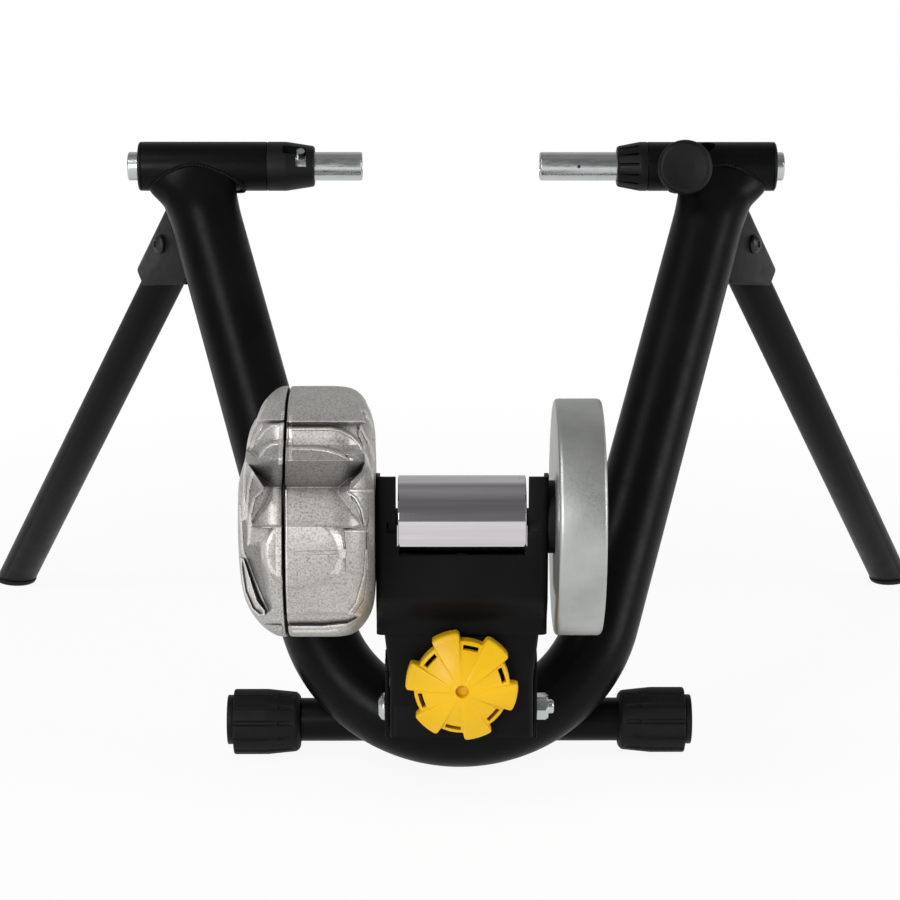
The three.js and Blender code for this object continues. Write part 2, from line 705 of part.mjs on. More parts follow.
function rightBolt() {
  const half = CAM_RING_WIDTH / 2 + SEAT_GAP;
  const neckRadius = BOLT_RADIUS - CAM_NECK_DEPTH;
  const neck = [
    [BOLT_RADIUS, LEVER_X - half],
    [neckRadius, LEVER_X - half],
    [neckRadius, LEVER_X + half],
    [BOLT_RADIUS, LEVER_X + half],
  ];
  const bolt = clampBolt(1, RIGHT_BOLT_TIP_X, RIGHT_BOLT_END_X, neck);
  const hole = radialPin(
    SETTING_HOLE_RADIUS, BOLT_BORE_RADIUS - CUT_OVERRUN, BOLT_RADIUS + CUT_OVERRUN,
    RIGHT_BOLT_TIP_X + SETTING_HOLE_FROM_TIP, LEVER_REST, 10,
  );
  return cut(bolt, hole);
}

function camRing() {
  const neckRadius = BOLT_RADIUS - CAM_NECK_DEPTH;
  const inner = (neckRadius + SEAT_GAP) / Math.cos(Math.PI / BOLT_SIDES);
  const outer = HOUSING_RADIUS - HOUSING_WALL - RUNNING_GAP;
  const ring = pipe(outer, inner, LEVER_X - CAM_RING_WIDTH / 2, LEVER_X + CAM_RING_WIDTH / 2, BOLT_SIDES);
  const socket = radialPin(
    STEM_RADIUS + SEAT_GAP, neckRadius + SEAT_GAP + 1, outer + CUT_OVERRUN, LEVER_X, LEVER_REST, MEDIUM_SIDES,
  );
  return cut(ring, socket);
}

function leverStem() {
  const base = BOLT_RADIUS - CAM_NECK_DEPTH + 2 * SEAT_GAP + 1;
  return radialPin(STEM_RADIUS, base, base + STEM_LENGTH, LEVER_X, LEVER_REST, MEDIUM_SIDES);
}

function leverKnob() {
  const stemEnd = BOLT_RADIUS - CAM_NECK_DEPTH + 2 * SEAT_GAP + 1 + STEM_LENGTH;
  const base = stemEnd - LEVER_KNOB_HEIGHT / 2;
  const top = base + LEVER_KNOB_HEIGHT;
  const rim = top - LEVER_KNOB_RIM;
  const bore = STEM_RADIUS + SEAT_GAP;
  const knob = turned([
    [bore, base],
    [LEVER_KNOB_NECK_RADIUS, base],
    [LEVER_KNOB_NECK_RADIUS, base + LEVER_KNOB_RIM / 2],
    [LEVER_KNOB_RADIUS * 0.74, rim - LEVER_KNOB_RIM * 0.9],
    [LEVER_KNOB_RADIUS * 0.96, rim - LEVER_KNOB_RIM / 3],
    [LEVER_KNOB_RADIUS, rim + LEVER_KNOB_RIM / 3],
    [LEVER_KNOB_RADIUS * 0.94, top - LEVER_KNOB_RIM / 4],
    [LEVER_KNOB_RADIUS * 0.84, top],
    [LEVER_KNOB_RADIUS * 0.66, top - LEVER_KNOB_DISH * 0.4],
    [LEVER_KNOB_RADIUS * 0.34, top - LEVER_KNOB_DISH],
    [0, top - LEVER_KNOB_DISH],
    [0, stemEnd + SEAT_GAP],
    [bore, stemEnd + SEAT_GAP],
  ], BOLT_SIDES);
  knob.rotateZ(-Math.PI / 2);
  knob.rotateX(-LEVER_REST);
  return knob.translate(LEVER_X, 0, 0);
}

function buildAxle() {
  const axle = groupAt(assembly, AXLE_CENTRE);
  piece(axle, 'left_axle_housing', housing(-1), FRAME_BLACK());
  piece(axle, 'right_axle_housing', housing(1), FRAME_BLACK());
  piece(axle, 'left_end_bush', endBush(-1), PLASTIC_BLACK());
  piece(axle, 'right_end_bush', endBush(1), PLASTIC_BLACK());
  piece(axle, 'left_collar', leftCollar(), PLASTIC_BLACK());
  piece(axle, 'right_collar', rightCollar(), PLASTIC_BLACK());
  piece(axle, 'left_axle_bolt', clampBolt(-1, LEFT_BOLT_TIP_X, LEFT_BOLT_END_X, []), ZINC());
  piece(axle, 'left_latch_pin', latchPin(), ZINC());
  piece(axle, 'right_axle_bolt', rightBolt(), ZINC());
  piece(axle, 'cam_ring', camRing(), STEEL_DARK());
  piece(axle, 'lever_stem', leverStem(), STEEL_DARK());
  piece(axle, 'lever_knob', leverKnob(), PLASTIC_BLACK());
}

// Cross tube and the levelling caps on its ends
function footCap(side) {
  const nose = side * CAP_INNER_X;
  const face = side * CAP_OUTER_X;
  const bore = CROSS_TUBE_RADIUS + SEAT_GAP;
  const floorOfBore = side * (CROSS_TUBE_HALF + SEAT_GAP);
  const discHole = CAP_DISC_SPIGOT_RADIUS + SEAT_GAP;
  const outer = turned([
    [0, nose],
    [CAP_NOSE_RADIUS, nose],
    [CAP_SHOULDER_RADIUS, nose + side * CAP_BEVEL],
    [CAP_RADIUS, nose + side * CAP_TAPER_LENGTH],
    [CAP_RADIUS, face - side * CAP_BEVEL / 2],
    [CAP_RADIUS - CAP_BEVEL / 2, face],
    [0, face],
  ], CAP_SIDES);
  const grooves = Array.from({ length: CAP_GROOVES }, (_, step) => {
    const bar = block(
      Math.min(nose + side * CAP_BEVEL * 2, face + side * CUT_OVERRUN),
      Math.max(nose + side * CAP_BEVEL * 2, face + side * CUT_OVERRUN),
      -CAP_GROOVE_WIDTH / 2, CAP_GROOVE_WIDTH / 2, CAP_RADIUS - CAP_GROOVE_DEPTH, CAP_RADIUS + CUT_OVERRUN,
    );
    return bar.rotateX((2 * Math.PI * (step + 1 / 2)) / CAP_GROOVES);
  });
  const offset = new THREE.Vector3(
    0, side * CAP_ECCENTRIC * Math.sin(CAP_TURN), -CAP_ECCENTRIC * Math.cos(CAP_TURN),
  );
  const grooved = cut(outer, ...grooves).translate(offset.x, offset.y, offset.z);
  return cut(
    grooved,
    pin(bore, nose - side * CUT_OVERRUN, floorOfBore, CAP_SIDES),
    pin(discHole, floorOfBore - side * CUT_OVERRUN, face + side * CUT_OVERRUN, CAP_SIDES),
  );
}

function capDisc(side) {
  const face = side * (CAP_OUTER_X + SEAT_GAP);
  const proud = face + side * CAP_DISC_PROUD;
  return turned([
    [0, face - side * CAP_DISC_SPIGOT_LENGTH],
    [CAP_DISC_SPIGOT_RADIUS, face - side * CAP_DISC_SPIGOT_LENGTH],
    [CAP_DISC_SPIGOT_RADIUS, face],
    [CAP_DISC_RADIUS, face],
    [CAP_DISC_RADIUS, proud - side * CAP_BEVEL / 2],
    [CAP_DISC_RADIUS - CAP_BEVEL / 2, proud],
    [0, proud],
  ], CAP_SIDES);
}

function buildBase() {
  piece(assembly, 'u_frame', uFrame(), FRAME_BLACK());
  const base = groupAt(assembly, new THREE.Vector3(0, CROSS_TUBE_Y, CROSS_TUBE_HEIGHT));
  const inner = CROSS_TUBE_RADIUS - CROSS_TUBE_WALL;
  const crossTube = pipe(CROSS_TUBE_RADIUS, inner, -CROSS_TUBE_HALF, CROSS_TUBE_HALF, LEG_SIDES);
  piece(base, 'cross_tube', crossTube, FRAME_BLACK());
  piece(base, 'left_foot_cap', footCap(-1), RUBBER_BLACK());
  piece(base, 'right_foot_cap', footCap(1), RUBBER_BLACK());
  piece(base, 'left_cap_disc', capDisc(-1), PLASTIC_BLACK());
  piece(base, 'right_cap_disc', capDisc(1), PLASTIC_BLACK());
}

// Leg frame: origin on the pivot, X along the open leg, Z along the fold axis, so +Y folds towards the arm
function legMatrix(side) {
  const arm = armDown(side);
  const outward = X_AXIS.clone().multiplyScalar(side * Math.cos(ARM_SPLAY));
  outward.addScaledVector(PLANE_DOWN, Math.sin(ARM_SPLAY));
  const away = PLANE_BACK.clone().multiplyScalar(Math.cos(LEG_SIDE_ANGLE));
  away.addScaledVector(outward, Math.sin(LEG_SIDE_ANGLE));
  const pivot = inFramePlane(side * ARM_TOP_X, 0).addScaledVector(arm, LEG_PIVOT_DROP);
  pivot.addScaledVector(away, LEG_PIVOT_OFFSET);
  const along = arm.clone().multiplyScalar(Math.cos(LEG_OPEN_ANGLE));
  along.addScaledVector(away, Math.sin(LEG_OPEN_ANGLE));
  const axis = away.clone().cross(arm);
  return new THREE.Matrix4().makeBasis(along, axis.clone().cross(along), axis).setPosition(pivot);
}

function legLength(matrix) {
  const along = new THREE.Vector3().setFromMatrixColumn(matrix, 0);
  const pivot = new THREE.Vector3().setFromMatrixPosition(matrix);
  return -pivot.z / along.z;
}

// World geometry brought into a local frame
function localCopy(geometry, matrix) {
  return weld(geometry.clone().applyMatrix4(matrix.clone().invert()));
}

function floorSlab(matrix, low, high) {
  const reach = legLength(matrix);
  const slab = block(-reach * 2, reach * 2, -reach * 2, reach * 2, low, high);
  return localCopy(slab, matrix);
}

function alongZ(geometry) {
  return geometry.rotateY(-Math.PI / 2);
}

function legTube(matrix) {
  const length = legLength(matrix);
  const reach = length + LEG_RADIUS * 2;
  const outer = pin(LEG_RADIUS, -LEG_RADIUS * 2, reach, LEG_SIDES);
  const bore = pin(LEG_RADIUS - LEG_WALL, -LEG_RADIUS * 3, reach + CUT_OVERRUN, LEG_SIDES);
  const flat = LEG_RADIUS - BRACKET_CORNER + BRACKET_SHEET;
  const butt = alongZ(turned([
    [0, -LEG_RADIUS],
    [flat, -LEG_RADIUS],
    [LEG_RADIUS, -flat],
    [LEG_RADIUS, flat],
    [flat, LEG_RADIUS],
    [0, LEG_RADIUS],
  ], BOLT_SIDES));
  const shank = block(0, reach, -LEG_RADIUS * 2, LEG_RADIUS * 2, -LEG_RADIUS * 2, LEG_RADIUS * 2);
  const bolt = alongZ(pin(LEG_BOLT_RADIUS + RUNNING_GAP, -LEG_RADIUS * 2, LEG_RADIUS * 2, SMALL_SIDES));
  const below = floorSlab(matrix, -length, FOOT_SOLE + SEAT_GAP);
  return cut(common(outer, join(shank, butt)), bore, bolt, below);
}

function legFoot(matrix) {
  const length = legLength(matrix);
  const from = length - FOOT_SPIGOT_LENGTH - LEG_RADIUS;
  const reach = length + LEG_RADIUS * 2;
  const sole = common(pin(LEG_RADIUS, from, reach, LEG_SIDES), floorSlab(matrix, 0, FOOT_SOLE));
  const inner = LEG_RADIUS - LEG_WALL - SEAT_GAP;
  const spigot = common(pin(inner, from, reach, LEG_SIDES), floorSlab(matrix, FOOT_SOLE / 2, length));
  return join(sole, spigot);
}

// Leg bracket: a folded sheet channel that straddles the leg's head and is welded to the arm's back
function legBracket(matrix) {
  const half = LEG_RADIUS + BRACKET_WEB_GAP;
  const outer = half + BRACKET_SHEET;
  const channelPart = (radius, corner) => {
    const shape = new THREE.Shape();
    shape.moveTo(BRACKET_SKIRT_DEPTH * 2, radius);
    shape.lineTo(-radius + corner, radius);
    shape.absarc(-radius + corner, radius - corner, corner, Math.PI / 2, Math.PI, false);
    shape.lineTo(-radius, -radius + corner);
    shape.absarc(-radius + corner, -radius + corner, corner, Math.PI, 1.5 * Math.PI, false);
    shape.lineTo(BRACKET_SKIRT_DEPTH * 2, -radius);
    const origin = new THREE.Vector3(-BRACKET_TAIL * 2, 0, 0);
    const depth = BRACKET_TAIL * 2 + BRACKET_REACH + CUT_OVERRUN;
    return extruded(shape, depth, Y_AXIS, Z_AXIS, origin);
  };
  const channel = cut(channelPart(outer, BRACKET_CORNER), channelPart(half, BRACKET_CORNER - BRACKET_SHEET));
  const round = BRACKET_CORNER / 2;
  const profile = new THREE.Shape();
  profile.moveTo(-BRACKET_TAIL, -outer * 2);
  profile.lineTo(BRACKET_REACH, -outer * 2);
  profile.lineTo(BRACKET_REACH, BRACKET_END_DEPTH - round);
  profile.absarc(BRACKET_REACH - round, BRACKET_END_DEPTH - round, round, 0, Math.PI / 3, false);
  profile.lineTo(-LEG_RADIUS / 2, BRACKET_SKIRT_DEPTH);
  profile.lineTo(-BRACKET_TAIL, BRACKET_SKIRT_DEPTH);
  const trim = extruded(profile, outer * 4, X_AXIS, Y_AXIS, new THREE.Vector3(0, 0, -outer * 2));
  const arm = localCopy(pinchMouths(frameSweep(FRAME_TUBE_RADIUS + SEAT_GAP, 0)), matrix);
  const bolt = alongZ(pin(LEG_BOLT_RADIUS + SEAT_GAP, -outer * 2, outer * 2, SMALL_SIDES));
  const solid = toSolid(common(channel, trim)).subtract(toSolid(arm)).subtract(toSolid(bolt));
  return largestBody(solid);
}

function legBolt(side) {
  const seat = LEG_RADIUS + BRACKET_WEB_GAP + BRACKET_SHEET + SEAT_GAP;
  const head = side < 0 ? 1 : -1;
  const shank = turned([
    [0, -head * (seat + LEG_NUT_HEIGHT)],
    [LEG_BOLT_RADIUS, -head * (seat + LEG_NUT_HEIGHT)],
    [LEG_BOLT_RADIUS, head * seat],
    [LEG_BOLT_HEAD_RADIUS, head * seat],
    [LEG_BOLT_HEAD_RADIUS, head * (seat + LEG_BOLT_HEAD_HEIGHT / 2)],
    [LEG_BOLT_HEAD_RADIUS * 0.7, head * (seat + LEG_BOLT_HEAD_HEIGHT)],
    [0, head * (seat + LEG_BOLT_HEAD_HEIGHT)],
  ], MEDIUM_SIDES);
  return alongZ(shank);
}

function legNut(side) {
  const seat = LEG_RADIUS + BRACKET_WEB_GAP + BRACKET_SHEET + SEAT_GAP;
  const away = side < 0 ? -1 : 1;
  return alongZ(hexNut(
    LEG_BOLT_HEAD_RADIUS, LEG_BOLT_RADIUS + SEAT_GAP, away * seat, away * (seat + LEG_NUT_HEIGHT),
  ));
}

function buildLeg(side, label) {
  const matrix = legMatrix(side);
  const group = new THREE.Group();
  group.applyMatrix4(matrix);
  assembly.add(group);
  piece(group, `${label}_leg`, legTube(matrix), FRAME_BLACK());
  piece(group, `${label}_leg_foot`, legFoot(matrix), RUBBER_BLACK());
  piece(group, `${label}_leg_bracket`, legBracket(matrix), BRACKET_BLACK());
  piece(group, `${label}_leg_bolt`, legBolt(side), STEEL_DARK());
  piece(group, `${label}_leg_nut`, legNut(side), STEEL_DARK());
}

// Pivot ears on the frame's bend; the swing bracket hangs between them
function pivotEar(side) {
  const boss = ROD_RISE;
  const shape = new THREE.Shape();
  shape.moveTo(-EAR_FRONT_REACH, -EAR_BOTTOM_DROP);
  shape.lineTo(-EAR_FRONT_REACH, boss);
  shape.absarc(0, boss, EAR_TOP_RADIUS, Math.PI, 0, true);
  shape.lineTo(EAR_TAIL, 0);
  shape.lineTo(EAR_TAIL, -EAR_BOTTOM_DROP);
  const inner = side * (SWING_HALF_WIDTH + RUNNING_GAP);
  const outer = inner + side * EAR_SHEET;
  const plate = sidePlate(shape, Math.min(inner, outer), Math.max(inner, outer));
  const pivot = new THREE.Matrix4().makeTranslation(0, -PIVOT_BEHIND_AXLE, PIVOT_HEIGHT);
  const tube = localCopy(frameSweep(FRAME_TUBE_RADIUS + SEAT_GAP, 0), pivot);
  const reach = SWING_HALF_WIDTH * 2;
  const pivotHole = pin(PIVOT_BOLT_RADIUS + SEAT_GAP, -reach, reach, MEDIUM_SIDES);
  const journal = BARREL_JOURNAL_RADIUS + RUNNING_GAP;
  const barrelHole = pin(journal, -reach, reach, MEDIUM_SIDES).translate(0, 0, ROD_RISE);
  return largestBody(toSolid(cut(plate, tube, pivotHole, barrelHole)));
}

function swingBracket() {
  const front = -SWING_FRONT_REACH;
  const back = front + SWING_SHEET;
  const face = outline([
    [-SWING_HALF_WIDTH, SWING_FOLD_RISE],
    [SWING_HALF_WIDTH, SWING_FOLD_RISE],
    [SWING_HALF_WIDTH, SWING_WAIST_RISE],
    [SWING_TOP_HALF_WIDTH, SWING_STEP_RISE],
    [SWING_TOP_HALF_WIDTH, SWING_TOP_RISE],
    [-SWING_TOP_HALF_WIDTH, SWING_TOP_RISE],
    [-SWING_TOP_HALF_WIDTH, SWING_STEP_RISE],
    [-SWING_HALF_WIDTH, SWING_WAIST_RISE],
  ]);
  const panel = frontPlate(face, back, front);
  const kick = sidePlate(outline([
    [front, SWING_FOLD_RISE],
    [back, SWING_FOLD_RISE],
    [back - SWING_KICK, -SWING_BOTTOM_DROP],
    [front - SWING_KICK, -SWING_BOTTOM_DROP],
  ]), -SWING_HALF_WIDTH, SWING_HALF_WIDTH);
  const flangeShape = new THREE.Shape();
  flangeShape.moveTo(back - SWING_KICK, -SWING_BOTTOM_DROP);
  flangeShape.lineTo(0, -FLANGE_BOSS_RADIUS);
  flangeShape.absarc(0, 0, FLANGE_BOSS_RADIUS, -Math.PI / 2, Math.PI / 2, false);
  flangeShape.lineTo(front + SWING_SHEET / 2, FLANGE_TOP_RISE);
  flangeShape.lineTo(front + SWING_SHEET / 2, SWING_FOLD_RISE);
  const flange = (side) => {
    const outer = side * SWING_HALF_WIDTH;
    const inner = outer - side * SWING_SHEET;
    return sidePlate(flangeShape, Math.min(inner, outer), Math.max(inner, outer));
  };
  const reach = SWING_HALF_WIDTH * 2;
  const pivotHole = pin(PIVOT_BOLT_RADIUS + SEAT_GAP, -reach, reach, MEDIUM_SIDES);
  const rodHole = pin(ROD_HOLE_RADIUS, back - CUT_OVERRUN - SWING_SHEET, back + CUT_OVERRUN, MEDIUM_SIDES);
  rodHole.rotateZ(Math.PI / 2).translate(0, 0, ROD_RISE);
  const studs = [-1, 1].map((side) => {
    const from = back - CUT_OVERRUN - SWING_SHEET;
    const hole = pin(YOKE_STUD_RADIUS + SEAT_GAP, from, back + CUT_OVERRUN, SMALL_SIDES);
    return hole.rotateZ(Math.PI / 2).translate(side * YOKE_NUT_X, 0, studRise());
  });
  return cut(join(panel, kick, flange(-1), flange(1)), pivotHole, rodHole, ...studs);
}

function pivotBolt() {
  const seat = SWING_HALF_WIDTH + RUNNING_GAP + EAR_SHEET + SEAT_GAP;
  const head = pin(PIVOT_HEAD_RADIUS, -seat - PIVOT_HEAD_HEIGHT, -seat, 6);
  const end = seat + PIVOT_NUT_HEIGHT + PIVOT_BOLT_TAIL;
  const shank = pin(PIVOT_BOLT_RADIUS, -seat - PIVOT_HEAD_HEIGHT / 2, end, MEDIUM_SIDES);
  return join(head, shank);
}

function pivotNut() {
  const seat = SWING_HALF_WIDTH + RUNNING_GAP + EAR_SHEET + SEAT_GAP;
  return hexNut(PIVOT_HEAD_RADIUS, PIVOT_BOLT_RADIUS + SEAT_GAP, seat, seat + PIVOT_NUT_HEIGHT);
}

function pivotSpacer() {
  const half = SWING_HALF_WIDTH - SWING_SHEET - SEAT_GAP;
  return pipe(SPACER_RADIUS, PIVOT_BOLT_RADIUS + SEAT_GAP, -half, half, MEDIUM_SIDES);
}

// Heights of the yoke's lap and studs above the pivot
function studRise() {
  return ROLLER_HEIGHT - (YOKE_LAP_DROP + YOKE_BOTTOM_DROP) / 2 - PIVOT_HEIGHT;
}

function yoke() {
  const front = -YOKE_FRONT_REACH;
  const back = front + YOKE_SHEET;
  const lapBack = ROLLER_BEHIND_AXLE - PIVOT_BEHIND_AXLE - SWING_FRONT_REACH - SEAT_GAP;
  const lapFront = lapBack - YOKE_SHEET;
  const window = ROLLER_HALF_LENGTH + YOKE_WINDOW_GAP;
  const section = sidePlate(outline([
    [front, YOKE_TOP_RISE],
    [front, -YOKE_FOLD_DROP],
    [lapFront, -YOKE_LAP_DROP],
    [lapFront, -YOKE_BOTTOM_DROP],
    [lapBack, -YOKE_BOTTOM_DROP],
    [lapBack, -YOKE_LAP_DROP + YOKE_SHEET / 4],
    [back, -YOKE_FOLD_DROP + YOKE_SHEET / 4],
    [back, YOKE_TOP_RISE],
  ]), -YOKE_HALF_WIDTH, YOKE_HALF_WIDTH);
  const wallShape = new THREE.Shape();
  wallShape.moveTo(back - YOKE_SHEET / 2, YOKE_TOP_RISE);
  wallShape.lineTo(back - YOKE_SHEET / 2, -YOKE_FOLD_DROP);
  wallShape.lineTo(YOKE_BACK_REACH / 2, -YOKE_FOLD_DROP);
  wallShape.lineTo(YOKE_BACK_REACH, -YOKE_EAR_RADIUS);
  wallShape.lineTo(YOKE_BACK_REACH, 0);
  wallShape.absarc(0, 0, YOKE_BACK_REACH, 0, Math.PI / 2, false);
  wallShape.lineTo(front / 2, YOKE_TOP_RISE);
  const wall = (side) => {
    const outer = side * YOKE_HALF_WIDTH;
    const inner = outer - side * YOKE_SHEET;
    return sidePlate(wallShape, Math.min(inner, outer), Math.max(inner, outer));
  };
  const opening = block(
    -window, window, front - CUT_OVERRUN, back + CUT_OVERRUN, -YOKE_LIP_DROP, YOKE_TOP_RISE + CUT_OVERRUN,
  );
  const notch = block(
    -window - YOKE_NOTCH_DEPTH, window + YOKE_NOTCH_DEPTH, front - CUT_OVERRUN, back + CUT_OVERRUN,
    -YOKE_NOTCH_HALF_HEIGHT, YOKE_NOTCH_HALF_HEIGHT,
  );
  const reach = YOKE_HALF_WIDTH * 2;
  const bores = pin(BEARING_RADIUS + SEAT_GAP, -reach, reach, LARGE_SIDES);
  const rise = studRise() + PIVOT_HEIGHT - ROLLER_HEIGHT;
  const studs = [-1, 1].map((side) => {
    const from = lapBack - YOKE_SHEET / 2;
    const stud = pin(YOKE_STUD_RADIUS, from, from + SWING_SHEET + YOKE_NUT_HEIGHT + YOKE_SHEET, SMALL_SIDES);
    return stud.rotateZ(Math.PI / 2).translate(side * YOKE_NUT_X, 0, rise);
  });
  return join(cut(join(section, wall(-1), wall(1)), opening, notch, bores), ...studs);
}

function yokeNut(side) {
  const seat = -SWING_FRONT_REACH + SWING_SHEET + SEAT_GAP;
  const nut = hexNut(YOKE_NUT_RADIUS, YOKE_STUD_RADIUS + SEAT_GAP, seat, seat + YOKE_NUT_HEIGHT);
  return nut.rotateZ(Math.PI / 2).translate(side * YOKE_NUT_X, 0, studRise());
}

function buildSwing() {
  const pivot = groupAt(assembly, new THREE.Vector3(0, -PIVOT_BEHIND_AXLE, PIVOT_HEIGHT));
  piece(pivot, 'left_pivot_ear', pivotEar(-1), FRAME_BLACK());
  piece(pivot, 'right_pivot_ear', pivotEar(1), FRAME_BLACK());
  piece(pivot, 'pivot_bolt', pivotBolt(), ZINC());
  piece(pivot, 'pivot_nut', pivotNut(), ZINC());
  piece(pivot, 'pivot_spacer', pivotSpacer(), STEEL_DARK());
  piece(pivot, 'swing_bracket', swingBracket(), BRACKET_BLACK());
  piece(pivot, 'left_yoke_nut', yokeNut(-1), STEEL_DARK());
  piece(pivot, 'right_yoke_nut', yokeNut(1), STEEL_DARK());
}

// Tension screw: barrel nut, rod, thrust plate and knob, on the rod's own line
function barrelNut() {
  const body = SWING_HALF_WIDTH - SWING_SHEET - RUNNING_GAP;
  const end = SWING_HALF_WIDTH + RUNNING_GAP + EAR_SHEET + SEAT_GAP;
  const barrel = turned([
    [0, -end],
    [BARREL_JOURNAL_RADIUS, -end],
    [BARREL_JOURNAL_RADIUS, -body],
    [BARREL_RADIUS, -body],
    [BARREL_RADIUS, body],
    [BARREL_JOURNAL_RADIUS, body],
    [BARREL_JOURNAL_RADIUS, end],
    [0, end],
  ], MEDIUM_SIDES);
  const bore = pin(BARREL_BORE_RADIUS, -BARREL_RADIUS * 2, BARREL_RADIUS * 2, MEDIUM_SIDES).rotateZ(Math.PI / 2);
  return cut(barrel, bore);
}

function knobSeat() {
  return -SWING_FRONT_REACH - SEAT_GAP;
}

function knobPlate() {
  const shape = outline([
    [-KNOB_PLATE_HALF_WIDTH, -KNOB_PLATE_DROP],
    [KNOB_PLATE_HALF_WIDTH, -KNOB_PLATE_DROP],
    [KNOB_PLATE_HALF_WIDTH, KNOB_PLATE_RISE],
    [-KNOB_PLATE_HALF_WIDTH, KNOB_PLATE_RISE],
  ]);
  const plate = frontPlate(shape, knobSeat(), knobSeat() - KNOB_PLATE_THICKNESS);
  const behind = knobSeat() - KNOB_PLATE_THICKNESS * 2;
  const hole = pin(ROD_RADIUS + RUNNING_GAP, behind, knobSeat() + CUT_OVERRUN, MEDIUM_SIDES);
  return cut(plate, hole.rotateZ(Math.PI / 2));
}

// Knob solids are turned along X, apex first, then aimed along the rod towards the rear
function aimKnob(geometry) {
  const base = knobSeat() - KNOB_PLATE_THICKNESS - SEAT_GAP;
  return geometry.rotateZ(Math.PI / 2).translate(0, base, 0);
}

function knobBody(radius) {
  const rim = -KNOB_HUB_DEPTH;
  const crown = rim - KNOB_RIM_DEPTH;
  const apex = crown - KNOB_DOME * 0.72;
  const domeShares = [[0.97, 0.04], [0.76, 0.4], [0.4, 0.8]];
  const outerDome = domeShares.map(([across, up]) => [radius * across, crown + (apex - crown) * up]);
  const innerDome = domeShares.slice(1, 2).map(([across, up]) => [
    (radius - KNOB_WALL) * across, crown + (apex - crown) * up + KNOB_WALL,
  ]);
  return turned([
    [0, apex],
    ...outerDome.reverse(),
    [radius, crown + KNOB_WALL / 2],
    [radius, rim],
    [radius - KNOB_WALL, rim],
    [radius - KNOB_WALL, crown + KNOB_WALL],
    ...innerDome,
    [KNOB_HUB_RADIUS, apex + KNOB_DOME * 0.3 + KNOB_WALL],
    [KNOB_HUB_RADIUS, 0],
    [0, 0],
  ], KNOB_SIDES);
}

function tensionKnob() {
  const depth = KNOB_DOME + KNOB_RIM_DEPTH + KNOB_HUB_DEPTH;
  const lobeSectors = Array.from({ length: KNOB_LOBES }, (_, step) => {
    const middle = KNOB_PHASE + (2 * Math.PI * step) / KNOB_LOBES;
    const shape = new THREE.Shape();
    const near = KNOB_RADIUS * 0.55;
    const far = KNOB_LOBE_RADIUS * 1.5;
    const edge = (radius, angle) => new THREE.Vector2(radius * Math.cos(angle), radius * Math.sin(angle));
    const halfNear = KNOB_LOBE_WIDTH * 0.62;
    const halfFar = KNOB_LOBE_WIDTH / 2;
    shape.setFromPoints([
      edge(near, middle - halfNear),
      edge(far, middle - halfFar),
      edge(far, middle + halfFar),
      edge(near, middle + halfNear),
    ]);
    return frontPlate(shape, depth, -depth * 2);
  });
  const sectors = join(...lobeSectors.map((geometry) => geometry.translate(0, knobSeat(), 0)));
  const lobes = common(aimKnob(knobBody(KNOB_LOBE_RADIUS)), sectors);
  const slots = Array.from({ length: KNOB_LOBES }, (_, step) => {
    const middle = KNOB_PHASE + (2 * Math.PI * (step + 1 / 2)) / KNOB_LOBES;
    const slot = block(
      KNOB_SLOT_RADIUS - KNOB_SLOT_WIDTH / 2, KNOB_SLOT_RADIUS + KNOB_SLOT_WIDTH / 2,
      -depth * 2, depth, -KNOB_SLOT_LENGTH / 2, KNOB_SLOT_LENGTH / 2,
    );
    return slot.rotateY(-middle).translate(0, knobSeat(), 0);
  });
  const eyeEnd = -KNOB_HUB_DEPTH - KNOB_RIM_DEPTH - KNOB_EYE_DEPTH;
  const eye = aimKnob(pin(KNOB_EYE_RADIUS, -depth * 2, eyeEnd, MEDIUM_SIDES));
  const rodHole = aimKnob(pin(ROD_RADIUS + SEAT_GAP, -KNOB_RIM_DEPTH - SEAT_GAP, CUT_OVERRUN, MEDIUM_SIDES));
  return cut(join(aimKnob(knobBody(KNOB_RADIUS)), lobes), ...slots, eye, rodHole);
}

function tensionRod() {
  const tip = knobSeat() - KNOB_PLATE_THICKNESS - SEAT_GAP - KNOB_RIM_DEPTH;
  return pin(ROD_RADIUS, tip, ROD_TAIL, MEDIUM_SIDES).rotateZ(Math.PI / 2);
}

function buildTension() {
  const place = new THREE.Vector3(0, -PIVOT_BEHIND_AXLE, PIVOT_HEIGHT + ROD_RISE);
  const rodLine = groupAt(assembly, place);
  piece(rodLine, 'barrel_nut', barrelNut(), STEEL_DARK());
  piece(rodLine, 'tension_rod', tensionRod(), ZINC());
  piece(rodLine, 'knob_plate', knobPlate(), BRACKET_BLACK());
  piece(rodLine, 'tension_knob', tensionKnob(), KNOB_YELLOW());
}

// Roller, shaft, bearings and flywheel, all about the roller line
function roller() {
  const bore = SHAFT_RADIUS + SEAT_GAP;
  const shell = ROLLER_RADIUS - ROLLER_SHELL;
  const half = ROLLER_HALF_LENGTH;
  const floorX = half - ROLLER_RECESS;
  const round = ROLLER_SHELL / 4;
  const endProfile = (sign) => [
    [bore, sign * half],
    [ROLLER_HUB_RADIUS, sign * half],
    [ROLLER_HUB_RADIUS, sign * floorX],
    [shell, sign * floorX],
    [shell, sign * half],
    [ROLLER_RADIUS - round, sign * half],
    [ROLLER_RADIUS, sign * (half - round)],
  ];
  return turned([...endProfile(-1), ...endProfile(1).reverse()], ROLLER_SIDES);
}

function shaftEnds() {
  const impellerEnd = -(UNIT_PART_X + UNIT_GASKET + IMPELLER_DISC);
  const nutEnd = FLYWHEEL_INNER_X + FLYWHEEL_WIDTH + SEAT_GAP + FLYWHEEL_NUT_HEIGHT + SEAT_GAP;
  return [impellerEnd, nutEnd];
}

function shaft() {
  return pin(SHAFT_RADIUS, ...shaftEnds(), MEDIUM_SIDES);
}

